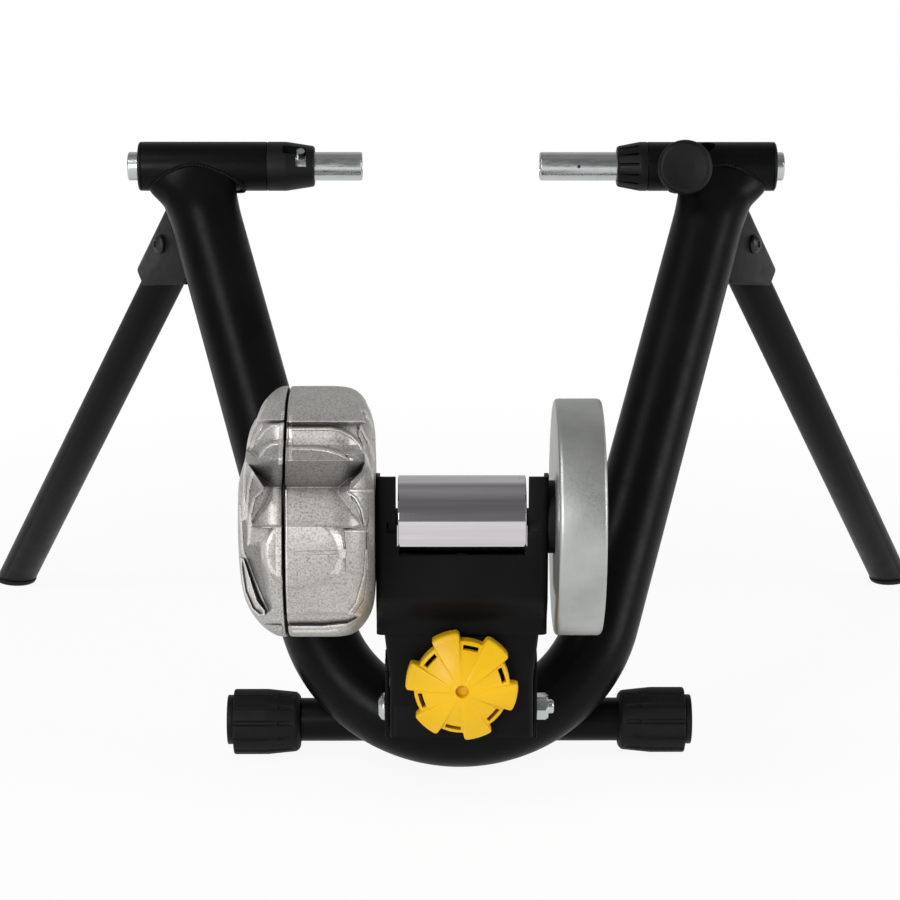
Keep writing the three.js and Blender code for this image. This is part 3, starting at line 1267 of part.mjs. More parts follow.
function bearing(side) {
  const middle = side * (YOKE_HALF_WIDTH - BEARING_HALF_WIDTH);
  const inner = SHAFT_RADIUS + SEAT_GAP;
  const race = (BEARING_RADIUS - inner) / 4;
  const hidden = middle - side * BEARING_HALF_WIDTH;
  const seen = middle + side * BEARING_HALF_WIDTH;
  const groove = seen - side * BEARING_GROOVE;
  return turned([
    [inner, hidden],
    [BEARING_RADIUS, hidden],
    [BEARING_RADIUS, seen],
    [BEARING_RADIUS - race, seen],
    [BEARING_RADIUS - race, groove],
    [inner + race, groove],
    [inner + race, seen],
    [inner, seen],
  ], LARGE_SIDES);
}

function flywheel() {
  const near = FLYWHEEL_INNER_X;
  const far = near + FLYWHEEL_WIDTH;
  const bore = SHAFT_RADIUS + SEAT_GAP;
  const rim = FLYWHEEL_RADIUS - FLYWHEEL_RIM;
  const round = FLYWHEEL_ROUND;
  const slant = FLYWHEEL_RECESS / 2;
  return turned([
    [bore, near + SEAT_GAP],
    [FLYWHEEL_HUB_RADIUS, near + SEAT_GAP],
    [FLYWHEEL_HUB_RADIUS + slant / 2, near + FLYWHEEL_RECESS],
    [rim - slant, near + FLYWHEEL_RECESS],
    [rim, near],
    [FLYWHEEL_RADIUS - round, near],
    [FLYWHEEL_RADIUS, near + round],
    [FLYWHEEL_RADIUS, far - round],
    [FLYWHEEL_RADIUS - round, far],
    [rim, far],
    [rim - slant, far - FLYWHEEL_RECESS],
    [FLYWHEEL_HUB_RADIUS + slant / 2, far - FLYWHEEL_RECESS],
    [FLYWHEEL_HUB_RADIUS, far - SEAT_GAP],
    [bore, far - SEAT_GAP],
  ], FLYWHEEL_SIDES);
}

function flywheelNut() {
  const seat = FLYWHEEL_INNER_X + FLYWHEEL_WIDTH;
  return hexNut(FLYWHEEL_NUT_RADIUS, SHAFT_RADIUS + SEAT_GAP, seat, seat + FLYWHEEL_NUT_HEIGHT);
}

// Fluid unit: its turned shells, swollen by an offset where fins and ribs stand proud
function coverOutline(proud) {
  const depth = UNIT_LEFT_X - UNIT_PART_X;
  const shares = [[0.985, 0.14], [0.89, 0.52], [0.76, 0.75], [0.4, 0.97]];
  const edge = -(UNIT_PART_X + UNIT_GASKET);
  return [
    [UNIT_RADIUS + proud, edge],
    ...shares.map(([across, out]) => [(UNIT_RADIUS + proud) * across, -(UNIT_PART_X + depth * out + proud / 2)]),
    [0, -(UNIT_LEFT_X + proud / 2)],
  ];
}

function bodyOutline(proud) {
  const depth = UNIT_PART_X - UNIT_RIGHT_X;
  const shares = [[1, 0.7], [0.9, 0.87], [0.76, 0.97], [0.66, 1]];
  return [
    [UNIT_RADIUS + proud, -UNIT_PART_X],
    ...shares.map(([across, out]) => [(UNIT_RADIUS + proud) * across, -(UNIT_PART_X - depth * out)]),
    [0, -UNIT_RIGHT_X],
  ];
}

function coverSolid(proud) {
  return turned([[0, -(UNIT_PART_X + UNIT_GASKET)], ...coverOutline(proud)], UNIT_SIDES);
}

function bodySolid(proud) {
  return turned([[0, -UNIT_PART_X], ...bodyOutline(proud)], UNIT_SIDES);
}

// Flat layers that slope down towards the front of the bicycle, at given heights above the roller line
function finLayers(thickness, risesShares) {
  const reach = UNIT_RADIUS * 2;
  const layers = risesShares.map((share) => {
    const middle = UNIT_RADIUS * share;
    const layer = block(-UNIT_LEFT_X * 2, 0, -reach, reach, middle - thickness / 2, middle + thickness / 2);
    return layer.rotateX(-UNIT_FIN_SLOPE);
  });
  return layers.length > 1 ? join(...layers) : layers[0];
}

// The valley under the brow: a wedge that runs the unit's whole width
function valleyCut() {
  const far = UNIT_RADIUS + UNIT_BROW_PROUD * 2;
  const place = (radius, angle) => [-radius * Math.cos(angle), radius * Math.sin(angle)];
  const shape = outline([
    place(UNIT_RADIUS - UNIT_VALLEY_DEPTH, UNIT_VALLEY_ANGLE),
    place(far, UNIT_VALLEY_ANGLE + UNIT_VALLEY_SPREAD * 0.86),
    place(far, UNIT_VALLEY_ANGLE - UNIT_VALLEY_SPREAD),
  ]);
  return sidePlate(shape, -UNIT_LEFT_X * 1.5, -UNIT_RIGHT_X + CUT_OVERRUN);
}

// The round raised panel low on the unit's rear
function drumPanel(swollen) {
  const atX = -(UNIT_PART_X + UNIT_RIGHT_X) / 2 - UNIT_DRUM_RADIUS * 0.55;
  const drum = radialPin(
    UNIT_DRUM_RADIUS, UNIT_RADIUS / 2, UNIT_RADIUS * 2, atX, UNIT_DRUM_ANGLE, MEDIUM_SIDES,
  );
  return common(swollen, drum);
}

// The smooth panel that stands proud over the unit's top
function topPanel(swollen) {
  const over = block(
    -UNIT_LEFT_X * 1.5, -UNIT_RIGHT_X - UNIT_FIN_PROUD, -UNIT_RADIUS * 0.6, UNIT_RADIUS * 0.6,
    UNIT_RADIUS * UNIT_TOP_RISE_SHARE, UNIT_RADIUS * 2,
  );
  return common(swollen, over);
}

function withFins(plain, swollen, browed) {
  const lower = finLayers(UNIT_FIN_THICKNESS, UNIT_FIN_RISES_SHARES.slice(0, -1));
  const upper = finLayers(UNIT_FIN_THICKNESS * 1.3, UNIT_FIN_RISES_SHARES.slice(-1));
  const fins = common(swollen(UNIT_FIN_PROUD), lower);
  const brow = common(browed(UNIT_BROW_PROUD), upper);
  const reach = UNIT_RADIUS * 2;
  const rear = block(-UNIT_LEFT_X * 2, 0, -reach, UNIT_RADIUS * 0.35, -reach, reach);
  const raised = common(join(fins, brow), rear);
  const carved = cut(join(plain, raised), valleyCut());
  return join(carved, drumPanel(swollen(UNIT_DRUM_PROUD)), topPanel(swollen(UNIT_TOP_PROUD)));
}

function unitCavity(side) {
  const inner = UNIT_RADIUS - UNIT_WALL;
  return side < 0
    ? turned([
      [0, -UNIT_PART_X + CUT_OVERRUN],
      [inner * UNIT_CAVITY_SHARE, -UNIT_PART_X + CUT_OVERRUN],
      [inner * UNIT_CAVITY_SHARE, -(UNIT_PART_X + UNIT_GASKET)],
      [inner * 0.8, -(UNIT_PART_X + (UNIT_LEFT_X - UNIT_PART_X) * 0.45)],
      [0, -(UNIT_PART_X + (UNIT_LEFT_X - UNIT_PART_X) * 0.6)],
    ], UNIT_SIDES / 2)
    : turned([
      [0, -UNIT_PART_X - CUT_OVERRUN],
      [inner * UNIT_CAVITY_SHARE, -UNIT_PART_X - CUT_OVERRUN],
      [inner * UNIT_CAVITY_SHARE, -(UNIT_PART_X - (UNIT_PART_X - UNIT_RIGHT_X) * 0.55)],
      [UNIT_BOSS_RADIUS, -(UNIT_PART_X - (UNIT_PART_X - UNIT_RIGHT_X) * 0.7)],
      [0, -(UNIT_PART_X - (UNIT_PART_X - UNIT_RIGHT_X) * 0.7)],
    ], UNIT_SIDES / 2);
}

// Short vanes round the body's right shoulder
function shoulderVanes() {
  const outer = UNIT_RADIUS * 0.93;
  const inner = UNIT_RADIUS * 0.66;
  return Array.from({ length: UNIT_VANES }, (_, step) => {
    const vane = block(
      -(UNIT_RIGHT_X + UNIT_FIN_PROUD + UNIT_VANE_PROUD), -UNIT_RIGHT_X, -UNIT_VANE_THICKNESS / 2,
      UNIT_VANE_THICKNESS / 2, inner, outer,
    );
    return vane.rotateX((2 * Math.PI * step) / UNIT_VANES);
  });
}

function screwPlaces() {
  return Array.from({ length: UNIT_SCREWS }, (_, step) => {
    const angle = (2 * Math.PI * (step + 1 / 2)) / UNIT_SCREWS;
    const ring = UNIT_RADIUS * UNIT_SCREW_RING_SHARE * 1.06;
    return [ring * Math.cos(angle), ring * Math.sin(angle)];
  });
}

// Screws enter from the body's right shoulder and end inside the cover
function screwHoles() {
  return screwPlaces().map(([y, z]) => {
    const seat = -(UNIT_RIGHT_X + UNIT_SCREW_SEAT);
    const tip = -(UNIT_PART_X + UNIT_GASKET + UNIT_SCREW_GRIP + CUT_OVERRUN);
    const hole = pin(UNIT_SCREW_RADIUS + SEAT_GAP, tip, seat + CUT_OVERRUN, SMALL_SIDES);
    const well = pin(UNIT_SCREW_HEAD_RADIUS + RUNNING_GAP, seat, 0, SMALL_SIDES);
    return join(hole, well).translate(0, y, z);
  });
}

function unitCover() {
  const finned = withFins(coverSolid(0), coverSolid, coverSolid);
  return largestBody(toSolid(cut(finned, unitCavity(-1), ...screwHoles())));
}

function unitBody() {
  const finned = withFins(bodySolid(0), bodySolid, bodySolid);
  const through = pin(SEAL_RADIUS + SEAT_GAP, -UNIT_PART_X, 0, LARGE_SIDES);
  const whole = join(finned, ...shoulderVanes());
  return largestBody(toSolid(cut(whole, unitCavity(1), through, ...screwHoles())));
}

function unitGasket() {
  const inner = (UNIT_RADIUS - UNIT_WALL) * 0.9;
  const left = -(UNIT_PART_X + UNIT_GASKET - SEAT_GAP);
  const ring = pipe(UNIT_RADIUS - 1, inner, left, -(UNIT_PART_X + SEAT_GAP), UNIT_SIDES);
  return cut(ring, ...screwHoles(), valleyCut());
}

function shaftSeal() {
  const right = -(UNIT_RIGHT_X + BEARING_HALF_WIDTH);
  return pipe(SEAL_RADIUS, SHAFT_RADIUS + RUNNING_GAP, right - SEAL_WIDTH, right, MEDIUM_SIDES);
}

function impeller() {
  const left = -(UNIT_PART_X + UNIT_GASKET);
  const right = left + IMPELLER_BLADE_DEPTH;
  const disc = pin(IMPELLER_RADIUS, left, left + IMPELLER_DISC, LARGE_SIDES);
  const hub = pin(IMPELLER_HUB_RADIUS, left, right, MEDIUM_SIDES);
  const blades = Array.from({ length: IMPELLER_BLADES }, (_, step) => {
    const blade = block(
      left + IMPELLER_DISC / 2, right, -IMPELLER_BLADE_THICKNESS / 2, IMPELLER_BLADE_THICKNESS / 2,
      IMPELLER_HUB_RADIUS / 2, IMPELLER_RADIUS - IMPELLER_BLADE_THICKNESS,
    );
    return blade.rotateX((2 * Math.PI * step) / IMPELLER_BLADES);
  });
  const bore = pin(SHAFT_RADIUS + SEAT_GAP, left - CUT_OVERRUN, right + CUT_OVERRUN, MEDIUM_SIDES);
  return cut(join(disc, hub, ...blades), bore);
}

function unitScrew([y, z]) {
  const seat = -(UNIT_RIGHT_X + UNIT_SCREW_SEAT - SEAT_GAP);
  const head = pin(UNIT_SCREW_HEAD_RADIUS, seat, seat + UNIT_SCREW_HEAD_HEIGHT, SMALL_SIDES);
  const tip = -(UNIT_PART_X + UNIT_GASKET + UNIT_SCREW_GRIP);
  const shank = pin(UNIT_SCREW_RADIUS, tip, seat + SEAT_GAP, SMALL_SIDES);
  return join(head, shank).translate(0, y, z);
}

function buildUnit() {
  const line = groupAt(assembly, new THREE.Vector3(0, -ROLLER_BEHIND_AXLE, ROLLER_HEIGHT));
  piece(line, 'yoke', yoke(), BRACKET_BLACK());
  piece(line, 'roller', roller(), CHROME());
  piece(line, 'shaft', shaft(), ZINC());
  piece(line, 'left_bearing', bearing(-1), STEEL_DARK());
  piece(line, 'right_bearing', bearing(1), STEEL_DARK());
  piece(line, 'flywheel', flywheel(), CAST_IRON());
  piece(line, 'flywheel_nut', flywheelNut(), ZINC());
  piece(line, 'unit_body', unitBody(), CAST_ALUMINIUM());
  piece(line, 'unit_cover', unitCover(), CAST_ALUMINIUM());
  piece(line, 'unit_gasket', unitGasket(), RUBBER_BLACK());
  piece(line, 'shaft_seal', shaftSeal(), RUBBER_BLACK());
  piece(line, 'impeller', impeller(), CAST_ALUMINIUM());
  screwPlaces().forEach((place, index) => {
    piece(line, `unit_screw_${index + 1}`, unitScrew(place), STEEL_DARK());
  });
}

buildBase();
buildAxle();
buildLeg(-1, 'left');
buildLeg(1, 'right');
buildSwing();
buildTension();
buildUnit();

// The origin is the middle of the footprint, on the floor
const trainer = new THREE.Group();
trainer.add(assembly);
trainer.updateMatrixWorld(true);
const extent = new THREE.Box3().setFromObject(trainer, true);
const middle = extent.getCenter(new THREE.Vector3());
assembly.position.set(-middle.x, -middle.y, -extent.min.z);
trainer.updateMatrixWorld(true);

export default trainer;
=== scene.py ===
import json
import math

import bmesh
import bpy
import numpy as np
from mathutils import Matrix, Vector


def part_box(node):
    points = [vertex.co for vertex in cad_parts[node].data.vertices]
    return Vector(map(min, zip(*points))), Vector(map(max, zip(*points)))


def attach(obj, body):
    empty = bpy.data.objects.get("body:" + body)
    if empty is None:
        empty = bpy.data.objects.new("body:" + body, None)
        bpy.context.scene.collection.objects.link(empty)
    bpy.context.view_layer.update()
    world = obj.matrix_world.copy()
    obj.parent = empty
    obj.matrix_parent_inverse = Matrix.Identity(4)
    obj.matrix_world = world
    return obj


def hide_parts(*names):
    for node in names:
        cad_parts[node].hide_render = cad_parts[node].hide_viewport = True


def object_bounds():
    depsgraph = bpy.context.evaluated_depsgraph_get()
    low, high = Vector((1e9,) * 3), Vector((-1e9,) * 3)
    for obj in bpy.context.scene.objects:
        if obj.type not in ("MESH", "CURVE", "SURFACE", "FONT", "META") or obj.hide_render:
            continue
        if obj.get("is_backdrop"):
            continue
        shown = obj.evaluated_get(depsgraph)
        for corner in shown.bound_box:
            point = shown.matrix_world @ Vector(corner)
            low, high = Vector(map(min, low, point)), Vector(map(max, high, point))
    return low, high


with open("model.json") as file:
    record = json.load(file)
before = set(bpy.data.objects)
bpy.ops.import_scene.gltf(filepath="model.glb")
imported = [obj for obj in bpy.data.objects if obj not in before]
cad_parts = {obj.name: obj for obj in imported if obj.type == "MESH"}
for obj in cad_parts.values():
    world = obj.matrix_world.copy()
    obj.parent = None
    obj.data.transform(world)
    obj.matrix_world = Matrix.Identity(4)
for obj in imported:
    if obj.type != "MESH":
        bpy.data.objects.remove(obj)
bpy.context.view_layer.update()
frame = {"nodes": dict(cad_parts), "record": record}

MM = 0.001
SIDES = ((-1, "left"), (1, "right"))


def middle(node):
    low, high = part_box(node)
    return (Vector(low) + Vector(high)) / 2


AXLE = middle("left_axle_housing") * Vector((0, 1, 1))
ROLLER = middle("roller")
PIVOT = middle("pivot_spacer")
CROSS = middle("cross_tube")
ROD = Vector((0, PIVOT.y, middle("barrel_nut").z))

# Camera, at the photograph's height, distance and tilt
camera_data = bpy.data.cameras.new("camera")
camera_data.lens = 108
camera_data.sensor_width = 36
camera_data.clip_end = 50
camera = bpy.data.objects.new("camera", camera_data)
camera.location = AXLE + Vector((-23.43, -2098.43, 262.25)) * MM
yaw = math.radians(0.49)
pitch = math.radians(13.12)
roll = math.radians(0.08)
aim = Vector((math.sin(yaw) * math.cos(pitch), math.cos(yaw) * math.cos(pitch), -math.sin(pitch)))
level_view = aim.to_track_quat("-Z", "Y").to_matrix()
camera.rotation_euler = (level_view @ Matrix.Rotation(roll, 3, "Z")).to_euler()
bpy.context.scene.collection.objects.link(camera)
bpy.context.scene.camera = camera
bpy.context.scene.view_settings.view_transform = "Standard"


# Materials: an input of a node is given a value or another node's output
def fill(owner, node, inputs):
    for name, given in inputs.items():
        if isinstance(given, bpy.types.NodeSocket):
            owner.node_tree.links.new(given, node.inputs[name])
        else:
            node.inputs[name].default_value = given


def add(owner, kind, inputs=None, **settings):
    node = owner.node_tree.nodes.new(kind)
    for name, setting in settings.items():
        setattr(node, name, setting)
    fill(owner, node, inputs or {})
    return node


def new_material(name):
    material = bpy.data.materials.new(name)
    material.use_nodes = True
    material.node_tree.nodes.clear()
    shader = add(material, "ShaderNodeBsdfPrincipled")
    add(material, "ShaderNodeOutputMaterial", {0: shader.outputs[0]})
    return material, shader


def noise(material, scale, detail, stretch=None):
    place = add(material, "ShaderNodeTexCoord").outputs["Object"]
    if stretch:
        place = add(material, "ShaderNodeMapping", {0: place, "Scale": stretch}).outputs[0]
    inputs = {"Vector": place, "Scale": scale, "Detail": detail, "Roughness": 0.6}
    return add(material, "ShaderNodeTexNoise", inputs).outputs["Fac"]


def ramp(owner, factor, stops):
    node = add(owner, "ShaderNodeValToRGB", {0: factor})
    elements = node.color_ramp.elements
    while len(elements) > 1:
        elements.remove(elements[-1])
    elements[0].position = stops[0][0]
    elements[0].color = (*stops[0][1], 1)
    for position, color in stops[1:]:
        elements.new(position).color = (*color, 1)
    return node.outputs[0]


def spread(owner, factor, low, high, start=0.3, end=0.7, **settings):
    """Carries a factor between start and end to one between low and high."""
    inputs = {"Value": factor, "From Min": start, "From Max": end, "To Min": low, "To Max": high}
    return add(owner, "ShaderNodeMapRange", inputs, **settings).outputs[0]


def mixed(owner, a, b, factor, blend="MIX"):
    inputs = {"Factor": factor, "A": a, "B": b}
    return add(owner, "ShaderNodeMix", inputs, data_type="RGBA", blend_type=blend).outputs["Result"]


def bumps(material, heights):
    """Lays bumps of (height, strength, distance) one over another."""
    before = {}
    for height, strength, distance in heights:
        inputs = {"Height": height, "Strength": strength, "Distance": distance, **before}
        before = {"Normal": add(material, "ShaderNodeBump", inputs).outputs[0]}
    return before["Normal"]


def edge_highlight_paint(material, amount, radius):
    """Rises to the amount on the edges of a piece, for a painted highlight along them."""
    soft = add(material, "ShaderNodeBevel", {"Radius": radius}, samples=4).outputs[0]
    plain = add(material, "ShaderNodeNewGeometry").outputs["Normal"]
    dot = add(material, "ShaderNodeVectorMath", {0: soft, 1: plain}, operation="DOT_PRODUCT")
    return spread(material, dot.outputs["Value"], 0.0, amount, 0.98, 0.8)


def coat(name, dark, light, roughness, grain, specular, grain_scale=1900):
    """Powder coat or moulded plastic: a fine orange peel under a soft sheen."""
    material, shader = new_material(name)
    fill(material, shader, {
        "Base Color": ramp(material, noise(material, 14, 3), [(0.35, dark), (0.7, light)]),
        "Roughness": spread(material, noise(material, 90, 5), roughness - 0.05, roughness + 0.06),
        "Specular IOR Level": specular,
        "Normal": bumps(material, [
            (noise(material, grain_scale, 2), grain, 0.00008),
            (noise(material, grain_scale / 5, 2), grain * 0.5, 0.0002),
        ]),
    })
    return material


def metal(name, colors, roughness, stretch, scratch=0.06, scale=160, drifting=(1, 1, 1)):
    """Plated or turned metal: fine marks along or round the piece and a faint drift between its colours."""
    material, shader = new_material(name)
    spots = (0.3, 0.52, 0.7) if len(colors) == 3 else (0.3, 0.7)
    marks = noise(material, scale, 6, stretch)
    fill(material, shader, {
        "Base Color": ramp(material, noise(material, 26, 4, drifting), list(zip(spots, colors))),
        "Metallic": 1.0,
        "Roughness": spread(material, marks, roughness * 0.75, roughness * 1.35),
        "Normal": bumps(material, [(marks, scratch, 0.00006)]),
    })
    return material


FRAME_BLACK = coat("frame_black_look", (0.003, 0.0026, 0.0028), (0.0055, 0.005, 0.0052), 0.36, 0.16, 0.085)
BRACKET_BLACK = coat(
    "bracket_black_look", (0.0035, 0.0032, 0.0034), (0.006, 0.0055, 0.0057), 0.42, 0.22, 0.085)
PLASTIC_BLACK = coat(
    "plastic_black_look", (0.004, 0.004, 0.0042), (0.0065, 0.0064, 0.0066), 0.46, 0.3, 0.17, 1400)
RUBBER_BLACK = coat(
    "rubber_black_look", (0.005, 0.005, 0.0052), (0.008, 0.008, 0.0084), 0.6, 0.4, 0.16, 1100)
ZINC = metal(
    "zinc_look", [(0.5, 0.53, 0.52), (0.56, 0.59, 0.59), (0.6, 0.61, 0.58)], 0.25, (1, 5, 5), 0.03, 90)
STEEL_DARK = metal("steel_dark_look", [(0.03, 0.03, 0.031), (0.06, 0.058, 0.056)], 0.42, (1, 1, 3))
CHROME = metal(
    "chrome_look", [(0.58, 0.56, 0.57), (0.63, 0.6, 0.63), (0.7, 0.69, 0.7)],
    0.075, (0.4, 12, 12), 0.03, 60, (0.2, 7, 7))


def cast_aluminium():
    """Sand-cast aluminium: a bright grain over a faint cloud, with painted shade in hollows, a painted
    highlight on edges, and painted highlights and shade laid on by a vertex attribute.
    """
    material, shader = new_material("cast_aluminium_look")
    grain = noise(material, 820, 3)
    cloud = noise(material, 22, 5)
    hollow = add(material, "ShaderNodeAmbientOcclusion", {"Distance": 0.022}, samples=6).outputs["AO"]
    # Painted light: a vertex attribute of painted highlights and painted shade on the castings
    painted_light = add(material, "ShaderNodeAttribute", attribute_name="painted_light").outputs["Fac"]
    color = ramp(material, cloud, [(0.3, (0.49, 0.475, 0.45)), (0.7, (0.6, 0.585, 0.56))])
    speck = ramp(material, grain, [(0.34, (0.42,) * 3), (0.5, (0.86,) * 3), (0.62, (1,) * 3)])
    color = mixed(material, color, speck, 0.85, "MULTIPLY")
    # Painted shade: the base colour is darkened where ambient occlusion finds hollows and creases
    painted_hollow_shade = ramp(material, hollow, [(0.3, (0.3, 0.29, 0.28)), (0.82, (1,) * 3)])
    color = mixed(material, color, painted_hollow_shade, 1.0, "MULTIPLY")
    # Painted highlight: the base colour is lightened towards white along every edge
    color = mixed(material, color, (0.86, 0.85, 0.83, 1), edge_highlight_paint(material, 0.5, 0.0007))
    # Painted highlights and painted shade: the base colour is scaled from 0.6 to 1.6 by that attribute
    color = mixed(material, color, spread(material, painted_light, 0.6, 1.6), 1.0, "MULTIPLY")
    fill(material, shader, {
        "Base Color": color,
        "Metallic": 0.85,
        "Roughness": spread(material, grain, 0.42, 0.54),
        "Normal": bumps(material, [(grain, 0.5, 0.00018), (noise(material, 300, 3), 0.25, 0.0003)]),
    })
    return material


def cast_iron():
    """Cast iron under a grey metallic paint, with its grain still showing."""
    material, shader = new_material("flywheel_look")
    cloud = noise(material, 30, 5)
    grain = noise(material, 820, 3)
    fill(material, shader, {
        "Base Color": ramp(material, cloud, [(0.3, (0.4, 0.41, 0.395)), (0.7, (0.5, 0.51, 0.49))]),
        "Metallic": 0.92,
        "Roughness": spread(material, grain, 0.38, 0.5),
        "Normal": bumps(material, [(grain, 0.28, 0.00014), (noise(material, 150, 3), 0.2, 0.0004)]),
    })
    return material


def knob_plastic():
    """Moulded yellow plastic with a satin face."""
    material, shader = new_material("knob_yellow_look")
    cloud = noise(material, 24, 3)
    fill(material, shader, {
        "Base Color": ramp(material, cloud, [(0.3, (0.8, 0.45, 0.003)), (0.7, (0.87, 0.52, 0.008))]),
        "Roughness": spread(material, noise(material, 240, 4), 0.3, 0.4),
        "Specular IOR Level": 0.3,
        "Normal": bumps(material, [(noise(material, 500, 2), 0.06, 0.0001)]),
    })
    return material


CAST_ALUMINIUM = cast_aluminium()
CAST_IRON = cast_iron()
KNOB_YELLOW = knob_plastic()

LOOKS = {
    "frame_black": FRAME_BLACK,
    "bracket_black": BRACKET_BLACK,
    "plastic_black": PLASTIC_BLACK,
    "rubber_black": RUBBER_BLACK,
    "zinc": ZINC,
    "steel_dark": STEEL_DARK,
    "chrome": CHROME,
    "cast_aluminium": CAST_ALUMINIUM,
    "cast_iron": CAST_IRON,
    "knob_yellow": KNOB_YELLOW,
}
SLOTS = {entry["node"]: entry["material_slot"] for entry in frame["record"]["subparts"]}
for node, thing in frame["nodes"].items():
    thing.data.materials.clear()
    thing.data.materials.append(LOOKS[SLOTS[node]])


# Mesh helpers
def step_up(distance, width):
    share = np.clip(distance / width + 0.5, 0, 1)
    return share * share * (3 - 2 * share)


def make_object(name, vertices, faces, look, smooth=40):
    mesh = bpy.data.meshes.new(name)
    mesh.from_pydata([tuple(v) for v in vertices], [], faces)
    mesh.validate()
    bm = bmesh.new()
    bm.from_mesh(mesh)
    bmesh.ops.remove_doubles(bm, verts=bm.verts, dist=1e-7)
    bmesh.ops.recalc_face_normals(bm, faces=bm.faces)
    bm.to_mesh(mesh)
    bm.free()
    thing = bpy.data.objects.new(name, mesh)
    bpy.context.scene.collection.objects.link(thing)
    mesh.materials.append(look)
    shade(thing, smooth)
    return thing


def shade(thing, angle=40):
    thing.data.shade_smooth()
    thing.data.set_sharp_from_angle(angle=math.radians(angle))


def apply_modifiers(thing):
    bpy.context.view_layer.update()
    evaluated = thing.evaluated_get(bpy.context.evaluated_depsgraph_get())
    mesh = bpy.data.meshes.new_from_object(evaluated)
    old = thing.data
    thing.modifiers.clear()
    thing.data = mesh
    bpy.data.meshes.remove(old)


def bevel(thing, width, segments=3):
    modifier = thing.modifiers.new("bevel", "BEVEL")
    modifier.width = width
    modifier.segments = segments
    modifier.limit_method = "ANGLE"
    modifier.angle_limit = math.radians(35)
    modifier.harden_normals = False
    apply_modifiers(thing)
    shade(thing)
    return thing


def boolean(thing, tools, operation="DIFFERENCE"):
    for tool in tools:
        modifier = thing.modifiers.new("cut", "BOOLEAN")
        modifier.operation = operation
        modifier.solver = "EXACT"
        modifier.object = tool
        apply_modifiers(thing)
    for tool in tools:
        mesh = tool.data
        bpy.data.objects.remove(tool)
        bpy.data.meshes.remove(mesh)
    shade(thing)
    return thing


def mm(x, y, z):
    return Vector((x, y, z)) * MM


def full_turn(count):
    """Angles once round a circle."""
    return [2 * math.pi * step / count for step in range(count)]


def basis(direction):
    """Columns that carry +X onto the direction."""
    x = Vector(direction).normalized()
    side = Vector((0, 0, 1)) if abs(x.z) < 0.9 else Vector((0, 1, 0))
    y = side.cross(x).normalized()
    return Matrix((x, y, x.cross(y))).transposed()


def rounded(profile, radius, steps=4):
    """Rounds every corner of a closed profile of (radius, along) pairs, in millimetres."""
    result = []
    count = len(profile)
    for index, corner in enumerate(profile):
        here = Vector(corner)
        before = Vector(profile[index - 1]) - here
        after = Vector(profile[(index + 1) % count]) - here
        reach = min(radius, before.length * 0.45, after.length * 0.45)
        if reach < 0.05 or before.length == 0 or after.length == 0 or corner[0] == 0:
            result.append(here)
            continue
        start = here + before.normalized() * reach
        end = here + after.normalized() * reach
        for step in range(steps + 1):
            t = step / steps
            result.append(start * (1 - t) ** 2 + here * 2 * t * (1 - t) + end * t * t)
    return result


def turned(name, profile, origin, direction, look, segments=96, radius=0.5):
    """A body of revolution; the profile is a closed list of (radius, along) in millimetres."""
    points = rounded(profile, radius)
    turn = basis(direction)
    vertices = []
    faces = []
    count = len(points)
    for angle in full_turn(segments):
        for r, along in points:
            vertices.append(origin + turn @ Vector((along, r * math.cos(angle), r * math.sin(angle))) * MM)
    for step in range(segments):
        here, there = step * count, (step + 1) % segments * count
        for index in range(count):
            other = (index + 1) % count
            if points[index].x or points[other].x:
                faces.append((here + index, here + other, there + other, there + index))
    return make_object(name, vertices, faces, look)


def prism(name, outline, depth, place, look):
    """An outline in millimetres, carried by place (a 4x4 matrix in metres) and given a depth along its Z."""
    count = len(outline)
    vertices = [place @ Vector((x * MM, y * MM, z * MM)) for z in (0, depth) for x, y in outline]
    faces = [tuple(reversed(range(count))), tuple(range(count, 2 * count))]
    faces += [(i, (i + 1) % count, count + (i + 1) % count, count + i) for i in range(count)]
    return make_object(name, vertices, faces, look)


def plane_at(origin, x, y):
    x, y = Vector(x).normalized(), Vector(y).normalized()
    z = x.cross(y)
    matrix = Matrix((x, y, z)).transposed().to_4x4()
    matrix.translation = origin
    return matrix


def arc(centre, radius, start, end, steps=12):
    return [(
        centre[0] + radius * math.cos(math.radians(start + (end - start) * i / steps)),
        centre[1] + radius * math.sin(math.radians(start + (end - start) * i / steps)),
    ) for i in range(steps + 1)]


def loops(name, rows, look, wrap=True, smooth=40):
    """Joins closed loops of points one after another; the ends meet (wrap) or are capped."""
    count, across = len(rows), len(rows[0])
    faces = []
    for index in range(count if wrap else count - 1):
        a, b = index * across, (index + 1) % count * across
        faces += [(a + k, a + (k + 1) % across, b + (k + 1) % across, b + k) for k in range(across)]
    if not wrap:
        faces += [tuple(reversed(range(across))), tuple(range((count - 1) * across, count * across))]
    return make_object(name, [point for row in rows for point in row], faces, look, smooth)


def largest_part(thing):
    """Keeps only the biggest of a mesh's separate parts."""
    bm = bmesh.new()
    bm.from_mesh(thing.data)
    left = set(bm.verts)
    parts = []
    while left:
        part, front = set(), [left.pop()]
        while front:
            vertex = front.pop()
            part.add(vertex)
            for edge in vertex.link_edges:
                other = edge.other_vert(vertex)
                if other in left:
                    left.remove(other)
                    front.append(other)
        parts.append(part)
    parts.sort(key=len)
    bmesh.ops.delete(bm, geom=[v for part in parts[:-1] for v in part], context="VERTS")
    bm.to_mesh(thing.data)
    bm.free()


